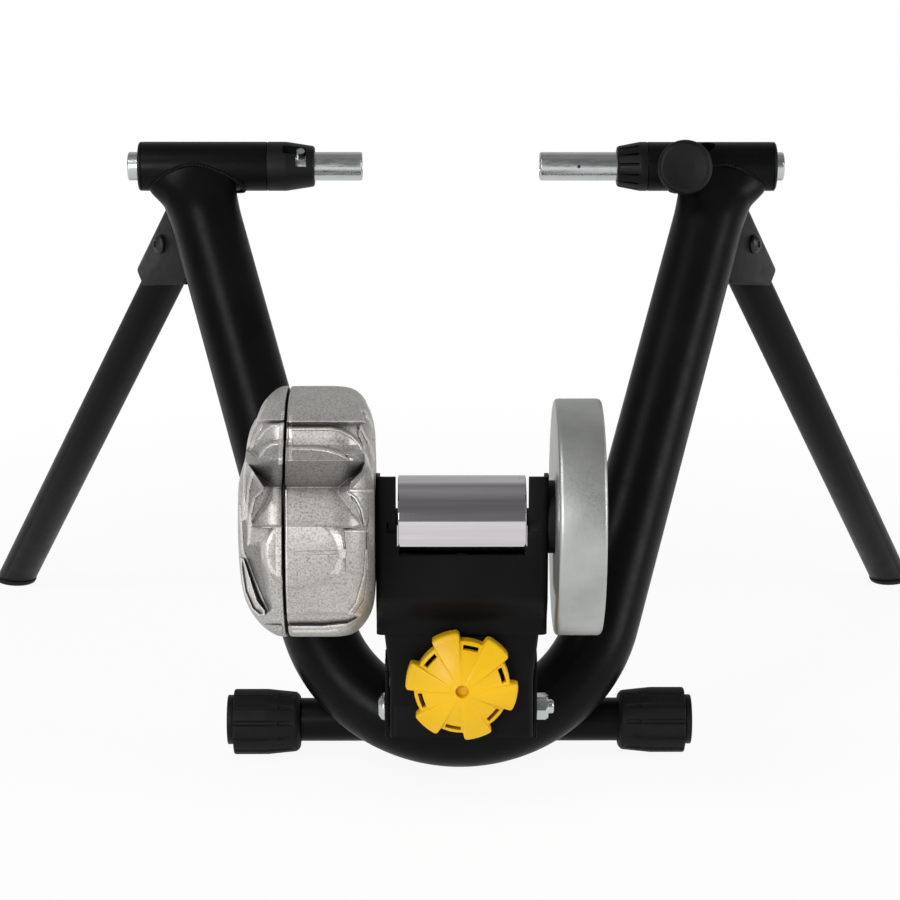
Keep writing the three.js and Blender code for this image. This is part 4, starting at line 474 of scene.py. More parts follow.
def bead(name, points, radius, look, closed=False):
    """A weld bead: a low rope of overlapping ripples along a line of points."""
    points = list(points) + ([points[0]] if closed else [])
    lengths = [0.0]
    for a, b in zip(points[:-1], points[1:]):
        lengths.append(lengths[-1] + (b - a).length)
    steps = max(8, int(lengths[-1] / (0.5 * MM)))
    table = [[p[axis] for p in points] for axis in range(3)]
    at = [lengths[-1] * step / steps for step in range(steps if closed else steps + 1)]
    line = [Vector([float(np.interp(place, lengths, column)) for column in table]) for place in at]
    last = len(line) - 1
    rows = []
    for index, point in enumerate(line):
        after = line[(index + 1) % len(line)] if closed else line[min(index + 1, last)]
        before = line[index - 1] if closed else line[max(index - 1, 0)]
        turn = basis(after - before)
        phase = at[index] / (2.4 * MM)
        swell = 1 + 0.16 * math.cos(2 * math.pi * phase) + 0.08 * math.sin(5.1 * phase)
        swell += 0.05 * math.sin(1.7 * phase)
        if not closed:
            swell *= 0.35 + 0.65 * min(1, 12 * min(index, last - index) / len(line))
        rows.append([
            point + turn @ Vector((0, math.cos(a), math.sin(a))) * (radius * swell * MM)
            for a in full_turn(12)
        ])
    return loops(name, rows, look, closed, 80)


def hexagon_nut(name, origin, direction, radius, height, look):
    """A hexagon nut or head whose corners are turned off at the free end."""
    turn = basis(direction)
    rows = []
    for tier, along in [("bore", 0), ("flats", 0), ("flats", height - 1), ("crown", height)]:
        row = []
        for a in full_turn(72):
            flat = radius * math.cos(math.pi / 6) / math.cos((a % (math.pi / 3)) - math.pi / 6)
            r = {"bore": radius * 0.3, "flats": flat, "crown": radius * 0.84}[tier]
            drop = 0
            if tier == "flats" and along > 0:
                drop = max(0, flat - radius * 0.87) / (radius * 0.13) * 0.8
            row.append(origin + turn @ Vector((along - drop, r * math.cos(a), r * math.sin(a))) * MM)
        rows.append(row)
    return loops(name, rows, look, False, 30)


def peg(radius, low, high, origin, direction=(1, 0, 0), segments=64):
    """A plain cylinder that other pieces are cut or joined with."""
    profile = [(0, low), (radius, low), (radius, high), (0, high)]
    return turned("peg", profile, origin, direction, FRAME_BLACK, segments, 0)


def dress(thing, nodes, body):
    """Lets a piece ride with a body, in the place of CAD nodes where it has any."""
    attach(thing, body)
    if nodes:
        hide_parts(*nodes)


def dress_turned(name, profile, origin, node, body, slot, segments=96, radius=0.5):
    """A body of revolution about a line along X, in the place of a CAD node and with its look."""
    dress(turned(name, profile, origin, (1, 0, 0), LOOKS[slot], segments, radius), [node], body)


# U frame: one fine sweep with the same line, bend and squeezed mouths as the solid
LEAN = math.radians(33)
SPLAY = math.radians(15.5)
PLANE_DOWN = Vector((0, -math.sin(LEAN), -math.cos(LEAN)))
PLANE_BACK = Vector((0, math.cos(LEAN), -math.sin(LEAN)))
BEND_RADIUS = 108
TUBE = 27
AXLE_HEIGHT = 410
FRAME_CLEARANCE = 6
FRAME_DROP = (AXLE_HEIGHT - TUBE - FRAME_CLEARANCE) / math.cos(LEAN)
BEND_HALF = math.pi / 2 - SPLAY
BEND_DROP = FRAME_DROP - BEND_RADIUS
BEND_END = BEND_DROP + BEND_RADIUS * math.cos(BEND_HALF)
ARM_TOP = BEND_RADIUS * math.sin(BEND_HALF) + BEND_END * math.tan(SPLAY)
MOUTH_TRIM = 8
MOUTH_LENGTH = 44


def in_plane(across, drop):
    return AXLE + (Vector((across, 0, 0)) + PLANE_DOWN * drop) * MM


def arm_down(side):
    return PLANE_DOWN * math.cos(SPLAY) + Vector((-side * math.sin(SPLAY), 0, 0))


def tube_rows(radius, ends=(0, 1, 2)):
    """Rings of points along the frame tube: left arm (0), right arm (1), bend (2)."""
    trim = MOUTH_TRIM / math.cos(SPLAY)
    runs = {}
    for side, _ in SIDES:
        top = in_plane(side * ARM_TOP, 0)
        down = arm_down(side)
        squeezed = []
        for s in (step / 23 for step in range(24)):
            squeezed.append((top + down * (trim + MOUTH_LENGTH * s) * MM, down * -side, s * s * (3 - 2 * s)))
        runs[side] = squeezed if side < 0 else list(reversed(squeezed))
    bend = []
    for step in range(97):
        angle = -BEND_HALF + 2 * BEND_HALF * step / 96
        point = in_plane(BEND_RADIUS * math.sin(angle), BEND_DROP + BEND_RADIUS * math.cos(angle))
        bend.append((point, Vector((1, 0, 0)) * math.cos(angle) - PLANE_DOWN * math.sin(angle), 1.0))
    rows = []
    for point, tangent, opened in runs[-1] * (0 in ends) + bend * (2 in ends) + runs[1] * (1 in ends):
        flat = PLANE_BACK.cross(tangent).normalized()
        across = radius * (1 - (1 - opened) * 0.34)
        along = radius * (1 + (1 - opened) * 0.1 + 0.26 * max(0, 1 - opened / 0.5) ** 2)
        rows.append([
            point + (PLANE_BACK * across * math.cos(a) + flat * along * math.sin(a)) * MM
            for a in full_turn(72)
        ])
    return rows


HOUSING_RADIUS = 19.05


def u_tube():
    rows = tube_rows(TUBE) + list(reversed(tube_rows(TUBE - 2)))
    tube = loops("u_tube", rows, FRAME_BLACK)
    boolean(tube, [peg(HOUSING_RADIUS + 0.35, -500, 500, AXLE, segments=96)])
    dress(tube, ["u_frame"], "frame")


u_tube()


# Axle line
HOUSING_START = 148
HOUSING_END = 245
BOLT_RADIUS = 11.1
BUSH_BORE = 11.5
BUSH_FIT = 15.9
LATCH_LENGTH = 37
LEVER_X = 172
LEVER_RISE = 6.5
LEVER_TRAVEL = 22
LEVER_SWING = 60


def ring_profile(outer, inner, low, high):
    return [(inner, low), (outer, low), (outer, high), (inner, high)]


def away_from_axle(degrees):
    """Straight out from the axle line, so many degrees up from the rear."""
    a = math.radians(degrees)
    return Vector((0, -math.cos(a), math.sin(a)))


def radial_peg(radius, low, high, at_x, angle):
    return peg(radius, low, high, AXLE + Vector((at_x * MM, 0, 0)), away_from_axle(angle), 32)


for side, label in SIDES:
    profile = ring_profile(HOUSING_RADIUS, 16.2, HOUSING_START * side, HOUSING_END * side)
    sleeve = turned(label + "_sleeve", profile, AXLE, (1, 0, 0), FRAME_BLACK, radius=0.6)
    if side > 0:
        pegs = []
        for step in range(23):
            share = step / 22
            pegs.append(radial_peg(
                5.8, 13, 22, LEVER_X + LEVER_TRAVEL * share, LEVER_RISE + LEVER_SWING * share))
        boolean(sleeve, pegs)
    dress(sleeve, [label + "_axle_housing"], "frame")
    face = (HOUSING_END + 0.3) * side
    dress_turned(label + "_bush", [
        (BUSH_BORE, face - 16 * side), (BUSH_FIT, face - 16 * side), (BUSH_FIT, face), (HOUSING_RADIUS, face),
        (HOUSING_RADIUS, face + 1.2 * side), (17.85, face + 2.4 * side), (BUSH_BORE, face + 2.4 * side),
    ], AXLE, label + "_end_bush", "frame", "plastic_black")


def collar(name, side, length):
    """A collar that tapers to its nose and has a spigot inside the housing."""
    face = side * (HOUSING_START - 0.3)
    nose = side * (HOUSING_START - length)
    taper = nose + side * min(22, length * 0.75)
    return turned(name, [
        (BUSH_BORE, nose), (14.6, nose), (15.8, nose + 1.2 * side), (HOUSING_RADIUS, taper),
        (HOUSING_RADIUS, face), (BUSH_FIT, face), (BUSH_FIT, face + 14 * side), (BUSH_BORE, face + 14 * side),
    ], AXLE, (1, 0, 0), PLASTIC_BLACK, radius=0.7)


def box_mesh(name, low, high):
    corners = [mm(x, y, z) for x in (low[0], high[0]) for y in (low[1], high[1]) for z in (low[2], high[2])]
    faces = [(0, 1, 3, 2), (4, 6, 7, 5), (0, 4, 5, 1), (2, 3, 7, 6), (0, 2, 6, 4), (1, 5, 7, 3)]
    return make_object(name, corners, faces, PLASTIC_BLACK)


def spin_about_axle(thing, angle):
    thing.data.transform(Matrix.Translation(AXLE) @ Matrix.Rotation(angle, 4, "X"))
    return thing


def latch_window():
    """Cutters for the latch's L-shaped window: one arm along the collar, one round it."""
    half = 4.1
    middle_x = -(HOUSING_START - LATCH_LENGTH + 10.5)
    start, swing, steps = 6, 46, 24
    lengthwise = box_mesh("window", (middle_x - 10 - half, -half, 9), (middle_x + half, half, 22))
    bevel(lengthwise, 1.2 * MM)
    spin_about_axle(lengthwise, math.pi / 2 - math.radians(start + swing))
    vertices = []
    for x in (middle_x - half, middle_x + half):
        for radius in (9, 22):
            for i in range(steps + 1):
                a = math.radians(start + swing * i / steps)
                vertices.append(AXLE + mm(x, -radius * math.cos(a), radius * math.sin(a)))
    n = steps + 1
    faces = []
    for i in range(steps):
        faces += [(i, i + 1, n + i + 1, n + i), (2 * n + i, 3 * n + i, 3 * n + i + 1, 2 * n + i + 1)]
        faces += [(i, 2 * n + i, 2 * n + i + 1, i + 1), (n + i, n + i + 1, 3 * n + i + 1, 3 * n + i)]
    faces += [(0, n, 3 * n, 2 * n), (n - 1, 3 * n - 1, 4 * n - 1, 2 * n - 1)]
    return [lengthwise, make_object("around", vertices, faces, PLASTIC_BLACK)]


left_collar = boolean(collar("latch_collar", -1, LATCH_LENGTH), latch_window())
dress(left_collar, ["left_collar"], "frame")

right_collar = collar("ribbed_collar_ring", 1, 24)
grooves = []
for angle in full_turn(14):
    groove = bevel(box_mesh("groove", (118, -1.1, 14.7), (140.7, 1.1, 23)), 1.0 * MM, 4)
    grooves.append(spin_about_axle(groove, angle))
boolean(right_collar, grooves)
dress(right_collar, ["right_collar"], "ribbed_collar")


def clamp_bolt(name, side, tip, end, neck):
    t, e = side * tip, side * end
    return turned(name, [
        (6, t + side * 9), (9.4, t), (10.2, t), (BOLT_RADIUS, t + side * 0.9), *neck,
        (BOLT_RADIUS, e - side * 0.9), (10.2, e), (6, e),
    ], AXLE, (1, 0, 0), ZINC, radius=0.25)


dress(clamp_bolt("left_clamp_bolt", -1, 74, 256, []), ["left_axle_bolt"], "left_bolt")
right_bolt = clamp_bolt("right_clamp_bolt", 1, 64, 254, [
    (BOLT_RADIUS, 164.2), (10.1, 164.2), (10.1, 179.8), (BOLT_RADIUS, 179.8),
])
boolean(right_bolt, [radial_peg(1.3, 4, 14, 94, LEVER_RISE)])
dress(right_bolt, ["right_axle_bolt"], "right_bolt")

knob_base = 42
lever_knob = turned("lever_mushroom", [(r, knob_base + out) for r, out in (
    (5.3, 0), (9, 0), (9, 2.5), (15.5, 10.5), (20.2, 13.3), (21, 16.7), (19.7, 18.8), (17.6, 20),
    (13.9, 19.3), (7.1, 18.4), (0, 18.4), (0, 10.3), (5.3, 10.3),
)], AXLE + mm(LEVER_X, 0, 0), away_from_axle(LEVER_RISE), PLASTIC_BLACK, radius=1.4)
dress(lever_knob, ["lever_knob"], "lever")

# Roller and flywheel
half_roller = [(6.3, 43.6), (11, 43.6), (11, 34.6), (25.075, 34.6), (25.075, 43.6), (28.575, 43.6)]
roller_profile = [(r, -along) for r, along in half_roller] + list(reversed(half_roller))
dress_turned("roller_drum", roller_profile, ROLLER, "roller", "spin", "chrome", 160, 0.8)
dress_turned("flywheel_rim", [
    (6.3, 78), (23, 78), (25.5, 63), (81, 63), (81, 95), (62, 95), (57.5, 85.5), (6.3, 85.5),
], ROLLER, "flywheel", "spin", "cast_iron", 160, 3.2)
# A black disc that fills the flywheel's hub recess, standing in for the shade inside it
dress_turned("hub_recess_shade_disc", [
    (6.2, 58), (24.2, 58), (25, 59), (25, 66), (23.4, 68), (21, 72), (6.2, 72),
], ROLLER, "flywheel", "spin", "rubber_black", 96, 0.3)
shaft_left = (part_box("shaft")[0][0] - ROLLER.x) / MM
dress_turned("roller_spindle", [
    (0, shaft_left), (5.2, shaft_left), (6, shaft_left + 1), (6, 93.4), (5.2, 94.4), (0, 94.4),
], ROLLER, "shaft", "spin", "steel_dark", 64, 0.2)
wheel_nut = hexagon_nut("wheel_hexagon", ROLLER + mm(85.8, 0, 0), (1, 0, 0), 11, 7, ZINC)
dress(wheel_nut, ["flywheel_nut"], "spin")

# Welds round the squeezed mouths, where the arms meet the axle housings
for side, label in SIDES:
    down = arm_down(side)
    flat = PLANE_BACK.cross(down).normalized()
    top = in_plane(side * ARM_TOP, 0)
    slide = Vector((0, down.y, down.z))
    seam = []
    for a in full_turn(96):
        offset = (PLANE_BACK * TUBE * 0.66 * math.cos(a) + flat * TUBE * 1.28 * math.sin(a)) * MM
        start = top + offset - AXLE
        across = Vector((0, start.y, start.z))
        square, linear = slide.dot(slide), 2 * across.dot(slide)
        constant = across.dot(across) - ((HOUSING_RADIUS + 0.25) * MM) ** 2
        under = max(0, linear * linear - 4 * square * constant)
        seam.append(AXLE + start + down * ((-linear + math.sqrt(under)) / (2 * square)))
    dress(bead(label + "_mouth_weld", seam, 1.6, FRAME_BLACK, True), [], "frame")


# Folding legs, their brackets and feet
LEG_TUBE = 15.875
BRACKET_INNER = LEG_TUBE + 0.5
BRACKET_OUTER = BRACKET_INNER + 2.6
BRACKET_FLAT = 9.475


def leg_frame(side):
    arm = arm_down(side)
    outward = Vector((side * math.cos(SPLAY), 0, 0)) + PLANE_DOWN * math.sin(SPLAY)
    away = PLANE_BACK * math.cos(math.radians(28)) + outward * math.sin(math.radians(28))
    pivot = in_plane(side * ARM_TOP, 0) + (arm * 43 + away * 46.5) * MM
    along = arm * math.cos(math.radians(78)) + away * math.sin(math.radians(78))
    axis = away.cross(arm)
    return plane_at(pivot, along, axis.cross(along))


def leg(side, label):
    place = leg_frame(side)

    def floor_x(y, z, height):
        return (height - place.translation.z / MM - y * place[2][1] - z * place[2][2]) / place[2][0]

    def ring(radius, end):
        """A ring at a height over the floor, or where the leg butts against its bracket."""
        row = []
        for a in full_turn(96):
            y, z = radius * math.cos(a), radius * math.sin(a)
            if end == "butt":
                reach = LEG_TUBE - max(0, abs(z) - BRACKET_FLAT)
                x = -math.sqrt(max(0, reach * reach - y * y))
            else:
                x = floor_x(y, z, end)
            row.append(place @ Vector((x * MM, y * MM, z * MM)))
        return row

    inner, outer = LEG_TUBE - 1.8, LEG_TUBE
    foot = ring(outer, 5.6)
    shoulder = [b.lerp(f, 0.002) for b, f in zip(ring(outer, "butt"), foot)]
    rows = [ring(outer - 0.5, "butt"), shoulder, foot]
    rows += [ring(outer - 0.4, 5.2), ring(inner, 5.2), ring(inner, "butt")]
    dress(loops(label + "_leg_tube", rows, FRAME_BLACK), [label + "_leg"], label + "_leg")
    sole = [ring(outer + wider, height) for wider, height in (
        (-2, 26), (-2, 5.1), (-0.3, 5.1), (0.5, 4.5), (0.7, 3), (0.5, 0.9), (-0.2, 0.15), (-1.4, 0),
    )]
    plug = loops(label + "_leg_plug", sole, RUBBER_BLACK, False, 50)
    dress(plug, [label + "_leg_foot"], label + "_leg")


def leg_bracket(side, label):
    place = leg_frame(side)

    def section(radius, corner):
        low = arc((-radius + corner, radius - corner), corner, 90, 180)
        high = arc((-radius + corner, -radius + corner), corner, 180, 270)
        return [(94, radius)] + low + high + [(94, -radius)]

    shell = section(BRACKET_OUTER, 9) + list(reversed(section(BRACKET_INNER, 6.4)))
    turn = Matrix(((0, 0, 1, -64 * MM), (1, 0, 0, 0), (0, 1, 0, 0), (0, 0, 0, 1)))
    channel = prism(label + "_bracket_sheet", shell, 115, place @ turn, BRACKET_BLACK)
    round_end = arc((47 - 4.5, 6 - 4.5), 4.5, 0, 62, 6)
    profile = [(-32, -40), (47, -40)] + round_end + [(-LEG_TUBE / 2, 47), (-32, 47)]
    lower = Matrix.Translation(Vector((0, 0, -40 * MM)))
    boolean(channel, [prism("trim", profile, 80, place @ lower, BRACKET_BLACK)], "INTERSECT")
    bevel(channel, 0.55 * MM, 2)
    arm = loops("arm", tube_rows(TUBE + 0.3), BRACKET_BLACK, False)
    boolean(channel, [arm])
    largest_part(channel)
    dress(channel, [label + "_leg_bracket"], "frame")
    inverse = place.inverted()
    for wall, letter in ((-1, "a"), (1, "b")):
        target = wall * (BRACKET_OUTER + 0.2)
        line = []
        for row in tube_rows(TUBE + 0.2, (0,) if side < 0 else (1,)):
            local = [(inverse @ point) / MM for point in row]
            best = None
            for here, there in zip(local, local[1:] + local[:1]):
                if (here.z - target) * (there.z - target) <= 0 and here.z != there.z:
                    spot = here.lerp(there, (target - here.z) / (there.z - here.z))
                    if best is None or spot.y < best.y:
                        best = spot
            if best is not None and -31 < best.x < 46:
                line.append(place @ (best * MM))
        if len(line) > 3:
            rope = bead(f"{label}_bracket_weld_{letter}", line, 1.7, BRACKET_BLACK)
            dress(rope, [], "frame")
    seat = BRACKET_OUTER + 0.3
    head = -side
    z_axis = Vector((place[0][2], place[1][2], place[2][2]))
    origin = place.translation.copy()
    bolt = turned(label + "_pivot_screw", [
        (0, -head * (seat + 5.6)), (4, -head * (seat + 5.6)), (4, head * seat), (7.6, head * seat),
        (7.6, head * (seat + 0.9)), (6.9, head * (seat + 2.4)), (4.6, head * (seat + 4.2)),
        (2.6, head * (seat + 4.6)), (2.2, head * (seat + 2.4)), (0, head * (seat + 2.4)),
    ], origin, z_axis, STEEL_DARK, 64, 0.5)
    dress(bolt, [label + "_leg_bolt"], "frame")
    nut_place = origin - z_axis * (head * seat * MM)
    nut = hexagon_nut(label + "_pivot_hexagon", nut_place, z_axis * -head, 7.4, 5, STEEL_DARK)
    dress(nut, [label + "_leg_nut"], "frame")


for side, label in SIDES:
    leg(side, label)
    leg_bracket(side, label)

# Cross tube, grooved levelling caps and their discs
dress_turned("cross_pipe", ring_profile(15.875, 13.9, -156, 156),
             CROSS, "cross_tube", "frame", "frame_black", radius=0.3)
CAP_RADIUS = 24


def foot_cap(side, label):
    low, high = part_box(label + "_foot_cap")
    centre = Vector((0, (low[1] + high[1]) / 2, (low[2] + high[2]) / 2))
    grooves = 12
    profile = rounded([
        (16.3, 117), (18.8, 117), (21.8, 119.5), (CAP_RADIUS, 141), (CAP_RADIUS, 166), (11.4, 166),
    ], 1.6, 5)
    fine = []
    for here, there in zip(profile[:-1], profile[1:]):
        pieces = max(1, int((there - here).length / 1.0))
        fine += [here.lerp(there, step / pieces) for step in range(pieces)]
    fine += [profile[-1]]
    rows = []
    for r, along in fine:
        row = []
        for a in full_turn(288):
            turn = (a * grooves / (2 * math.pi)) % 1 - 0.5
            across = abs(turn) * 2 * math.pi * CAP_RADIUS / grooves
            depth = 1.5 * max(0, min(1, (2.0 - across) / 0.8)) * max(0, min(1, (along - 121) / 3))
            radius = min(r, CAP_RADIUS - depth) if r > 20.5 else r
            radius = radius - depth * 0.55 if 20.5 < r < 23.2 else radius
            row.append(centre + mm(along * side, -radius * math.cos(a), radius * math.sin(a)))
        rows.append(row)
    cap = loops(label + "_levelling_cap", rows, RUBBER_BLACK, True, 35)
    dress(cap, [label + "_foot_cap"], label + "_cap")
    disc = [
        (0, 158), (10.8, 158), (10.8, 166.3), (18.2, 166.3), (18.2, 170.8), (13, 170.8), (11.5, 169.4),
        (0, 169.4),
    ]
    dress_turned(label + "_hub_disc", [(r, along * side) for r, along in disc],
                 CROSS, label + "_cap_disc", label + "_cap", "plastic_black", 96, 0.8)


for side, label in SIDES:
    foot_cap(side, label)


# Bent sheets: plan outlines stacked up the sheet, so the folds stay soft
def bent_sheet(name, levels, origin, look, sheet=3.0, fold=4.2):
    """Levels are (height, half width, front, back reach) in millimetres, from the bottom up."""
    rows = []
    for height, half, front, back in levels:
        inner = front + sheet
        back = max(back, inner + 0.01)
        quarter = [(math.cos(math.radians(t)), math.sin(math.radians(t))) for t in (0, 18, 36, 54, 72, 90)]
        small = max(0.4, fold - sheet)
        outer_left = [(-half + fold * (1 - c), front + fold * (1 - s)) for c, s in quarter]
        inner_left = [(-half + sheet + small * (1 - c), inner + small * (1 - s)) for c, s in quarter]
        reach_out = max(back, front + fold)
        reach_in = max(back, inner + small)
        if back < inner + small:
            outer_left = [(x, min(y, max(back, front))) for x, y in outer_left]
            inner_left = [(x, min(y, back)) for x, y in inner_left]
            reach_out = reach_in = back
        left = [(-half + sheet, reach_in), (-half + sheet - 0.5, reach_out)]
        left += [(-half + 0.5, reach_out), (-half, reach_out)]
        outer_half = left + outer_left
        loop = outer_half + [(-x, y) for x, y in reversed(outer_half)]
        loop += [(-x, y) for x, y in inner_left] + list(reversed(inner_left))
        rows.append([origin + mm(x, y, height) for x, y in loop])
    return loops(name, rows, look, False, 40)


YOKE_HALF = 58.5
YOKE_FRONT = -26
APRON_SET_BACK = 12.7


def yoke_levels():
    levels = []
    for height in [-80.5, -79] + [-78 + 1.5 * step for step in range(18)] + [-51.02, -51.0]:
        share = sum(max(0, min(1, (-51 - height - lift) / 18)) for lift in (-3, -1.5, 0, 1.5, 3)) / 5
        front = YOKE_FRONT + APRON_SET_BACK * share
        levels.append((height, YOKE_HALF, front, front if height < -51.01 else 10))
    for height in (-50, -45, -40, -35, -30, -25, -22):
        front = YOKE_FRONT + APRON_SET_BACK * max(0, (-48 - height)) * 0.003
        levels.append((height, YOKE_HALF, front, 10 + 10 * (height + 51) / 29))
    levels += [(height, YOKE_HALF, YOKE_FRONT, 20) for height in (-15, -8, 0)]
    for height in (4, 8, 11, 14, 16, 17.5, 18.7, 19.5, 19.9):
        levels.append((height, YOKE_HALF, YOKE_FRONT, math.sqrt(400 - height * height)))
    levels += [(20 + 14 * step / 6, YOKE_HALF, YOKE_FRONT, -13 * step / 6) for step in range(7)]
    return levels


yoke = bent_sheet("yoke_sheet", yoke_levels(), ROLLER, BRACKET_BLACK)


def block_at(origin, low, high):
    thing = box_mesh("cutter", low, high)
    thing.data.transform(Matrix.Translation(origin))
    return thing


boolean(yoke, [
    block_at(ROLLER, (-44, -30, -14.5), (44, -20, 40)),
    block_at(ROLLER, (-42.6, -30, -20.5), (42.6, -20, -14)),
    block_at(ROLLER, (-44.8, -30, 10.5), (44.8, -20, 41)),
    block_at(ROLLER, (-51.3, -30, -4.2), (51.3, -24.4, 4.2)),
    block_at(ROLLER, (-51, -30, -2.4), (-49.9, -20, 2.4)),
    peg(14.3, -70, 70, ROLLER),
])
bevel(yoke, 0.5 * MM, 2)
dress(yoke, ["yoke"], "swing")


SWING_HALF = 49.6
SWING_FRONT = -30


def swing_levels():
    levels = []
    for step in range(12):
        height = -11.5 + 22.5 * step / 11
        front = SWING_FRONT - 4 * (11 - height) / 22.5
        levels.append((height, SWING_HALF, front, math.sqrt(196 - height * height)))
    for height in (12, 13, 13.6, 13.95):
        levels.append((height, SWING_HALF, SWING_FRONT, math.sqrt(196 - height * height)))
    levels += [(14 + step, SWING_HALF, SWING_FRONT, -2.85 * step) for step in range(11)]
    for step in range(7):
        levels.append((30 + 30 * step / 6, SWING_HALF + 3.4 * step / 6, SWING_FRONT, SWING_FRONT))
    levels += [(height, 53, SWING_FRONT, SWING_FRONT) for height in (66, 74, 82, 88)]
    return levels


swing = bent_sheet("swing_sheet", swing_levels(), PIVOT, BRACKET_BLACK)
for side, _ in SIDES:
    boolean(swing, [peg(14, side * (SWING_HALF - 3), side * SWING_HALF, PIVOT)], "UNION")
bevel(swing, 0.5 * MM, 2)
dress(swing, ["swing_bracket"], "swing")

plate = prism("thrust_plate", [(-16, -16), (16, -16), (16, 32), (-16, 32)], 4,
              plane_at(ROD + mm(0, -30.3, 0), (1, 0, 0), (0, 0, 1)), BRACKET_BLACK)
bevel(plate, 0.7 * MM, 3)
dress(plate, ["knob_plate"], "swing")

# Pivot bolt, its nut and the ears
EAR_THICKNESS = 3
EAR_INNER = 50
seat = EAR_INNER + EAR_THICKNESS + 0.3
dress_turned("pivot_screw", [
    (0, -seat - 5.4), (3.2, -seat - 5.4), (6.4, -seat - 4.6), (9, -seat - 2.6), (9.6, -seat - 1),
    (9.6, -seat), (5, -seat), (5, seat + 11), (4.2, seat + 12), (0, seat + 12),
], PIVOT, "pivot_bolt", "frame", "zinc", 96, 0.3)
pivot_nut = hexagon_nut("pivot_hexagon", PIVOT + Vector((seat, 0, 0)) * MM, (1, 0, 0), 9.6, 8, ZINC)
dress(pivot_nut, ["pivot_nut"], "frame")
for side, label in SIDES:
    outline = [(-14, -19), (-14, 29.5)] + arc((0, 29.5), 12, 180, 0, 16) + [(52, 0), (52, -19)]
    x_low = EAR_INNER if side > 0 else -EAR_INNER - EAR_THICKNESS
    turn = plane_at(PIVOT + Vector((x_low * MM, 0, 0)), (0, 1, 0), (0, 0, 1))
    ear = prism(label + "_ear_sheet", outline, EAR_THICKNESS, turn, FRAME_BLACK)
    bevel(ear, 0.5 * MM, 2)
    boolean(ear, [loops("arm", tube_rows(TUBE + 0.3), FRAME_BLACK, False)])
    largest_part(ear)
    dress(ear, [label + "_pivot_ear"], "frame")

# Fluid unit: two turned castings whose panels, terraces and ribs are raised from named outlines.
# The outlines are drawn in millimetres on the upright plane that touches the unit's rear.
FACE_Y = ROLLER.y - 80 * MM


def drawn(points):
    """Where points of the castings fall on that plane, seen from the photograph's viewpoint."""
    eye = np.array(camera.location)
    share = (FACE_Y - eye[1]) / (points[:, 1] - eye[1])
    spot = eye + (points - eye) * share[:, None]
    return np.stack([spot[:, 0] / MM, (spot[:, 2] - ROLLER.z) / MM], 1)


def to_segment(spots, start, end):
    """Distance to the line between two points in millimetres."""
    edge = end - start
    share = np.clip(((spots - start) @ edge) / (edge @ edge), 0, 1)
    return np.linalg.norm(spots - start - share[:, None] * edge, axis=1)


def near_line(spots, line):
    """Distance to an open line in millimetres."""
    line = np.array(line, float)
    return np.min([to_segment(spots, start, end) for start, end in zip(line[:-1], line[1:])], axis=0)


def inside(spots, outline):
    """Distance to an outline in millimetres, positive inside it."""
    outline = np.array(outline, float)
    within = np.zeros(len(spots), bool)
    for start, end in zip(outline, np.roll(outline, -1, 0)):
        crosses = (start[1] > spots[:, 1]) != (end[1] > spots[:, 1])
        if end[1] != start[1]:
            at = start[0] + (spots[:, 1] - start[1]) / (end[1] - start[1]) * (end[0] - start[0])
            within ^= crosses & (spots[:, 0] < at)
    nearest = near_line(spots, [*outline, outline[0]])
    return np.where(within, nearest, -nearest)


TOP_PANEL = [
    (-115.7, 111.9), (-115, 84.3), (-64.9, 84.3), (-66.7, 90.4), (-69.6, 99.2), (-74.4, 106.4),
    (-76.1, 111.9),
]
TOP_COVER = [
    (-114.4, 113.1), (-115.9, 85.7), (-135.2, 85.5), (-133.1, 87.6), (-128.9, 96.3), (-124.5, 104.1),
    (-120.3, 111.9),
]
TERRACE_ONE = [
    [
        (-115.6, 79.6), (-86.6, 79.6), (-79.8, 78.2), (-73, 74.5), (-67.9, 69.4), (-63.9, 63),
        (-62.6, 54.8), (-64, 40.7), (-116.1, 40.7),
    ],
    [
        (-115.9, 82.5), (-124.7, 81.7), (-129.3, 78.2), (-133.3, 73), (-137.1, 66), (-138.1, 57.2),
        (-116.4, 40.7),
    ],
]
TERRACE_TWO = [
    [
        (-115.7, 66.5), (-98.1, 66.5), (-87.8, 65.1), (-79.9, 62.4), (-76.5, 62.8), (-64.3, 63),
        (-64, 54.8), (-75.5, 40.7), (-116.1, 40.7),
    ],
    [
        (-116, 70.3), (-124.8, 69.6), (-128.8, 67), (-132.9, 60.7), (-140.8, 65.4), (-139.3, 54.8),
        (-129.8, 40.7), (-116.4, 40.7),
    ],
]
VALLEY = [
    (-144.2, 65.6), (-140.8, 65.4), (-134.4, 60.2), (-118, 60.2), (-113.9, 58.6), (-72.5, 58.6),
    (-76.2, 62.9), (-64.3, 63), (-64.3, 58.1), (-66.8, 51.5), (-73.6, 44.8), (-75.5, 37.4), (-70.4, 26.5),
    (-65.9, 14.4), (-71.1, 13.2), (-138.8, 13.3), (-138.9, 18.3), (-131.4, 33.1), (-129.7, 40.7),
    (-137, 52.5), (-144.1, 62.1),
]
TAB = [
    (-77.5, 11.4), (-64, 11.3), (-64.1, -17.5), (-71.3, -17.7), (-77, -15.8), (-77, -7), (-81.6, -6.7),
    (-81.5, -2.4), (-76.7, -1),
]
BAND = [
    (-146.1, 29.5), (-146.4, 10), (-144.8, -1.9), (-141.7, -12), (-137.6, -25.2), (-131.3, -42),
    (-129.2, -40.8), (-131.1, -24.6), (-132.9, -11.5), (-133.7, 0.5), (-141.3, 1.1), (-142.4, 15.9),
]
BLADE = [
    (-146.2, -7.3), (-144.2, -7.9), (-135.9, -36.6), (-130.9, -43.2), (-131.1, -46), (-134.4, -46.7),
    (-139.4, -42), (-144.1, -30), (-146.1, -15),
]
FOOT = [
    (-115.7, -53.7), (-92.4, -53.8), (-76.2, -52.1), (-69.2, -48.1), (-64.5, -46.3), (-61.2, -64.4),
    (-115.9, -64.4),
]
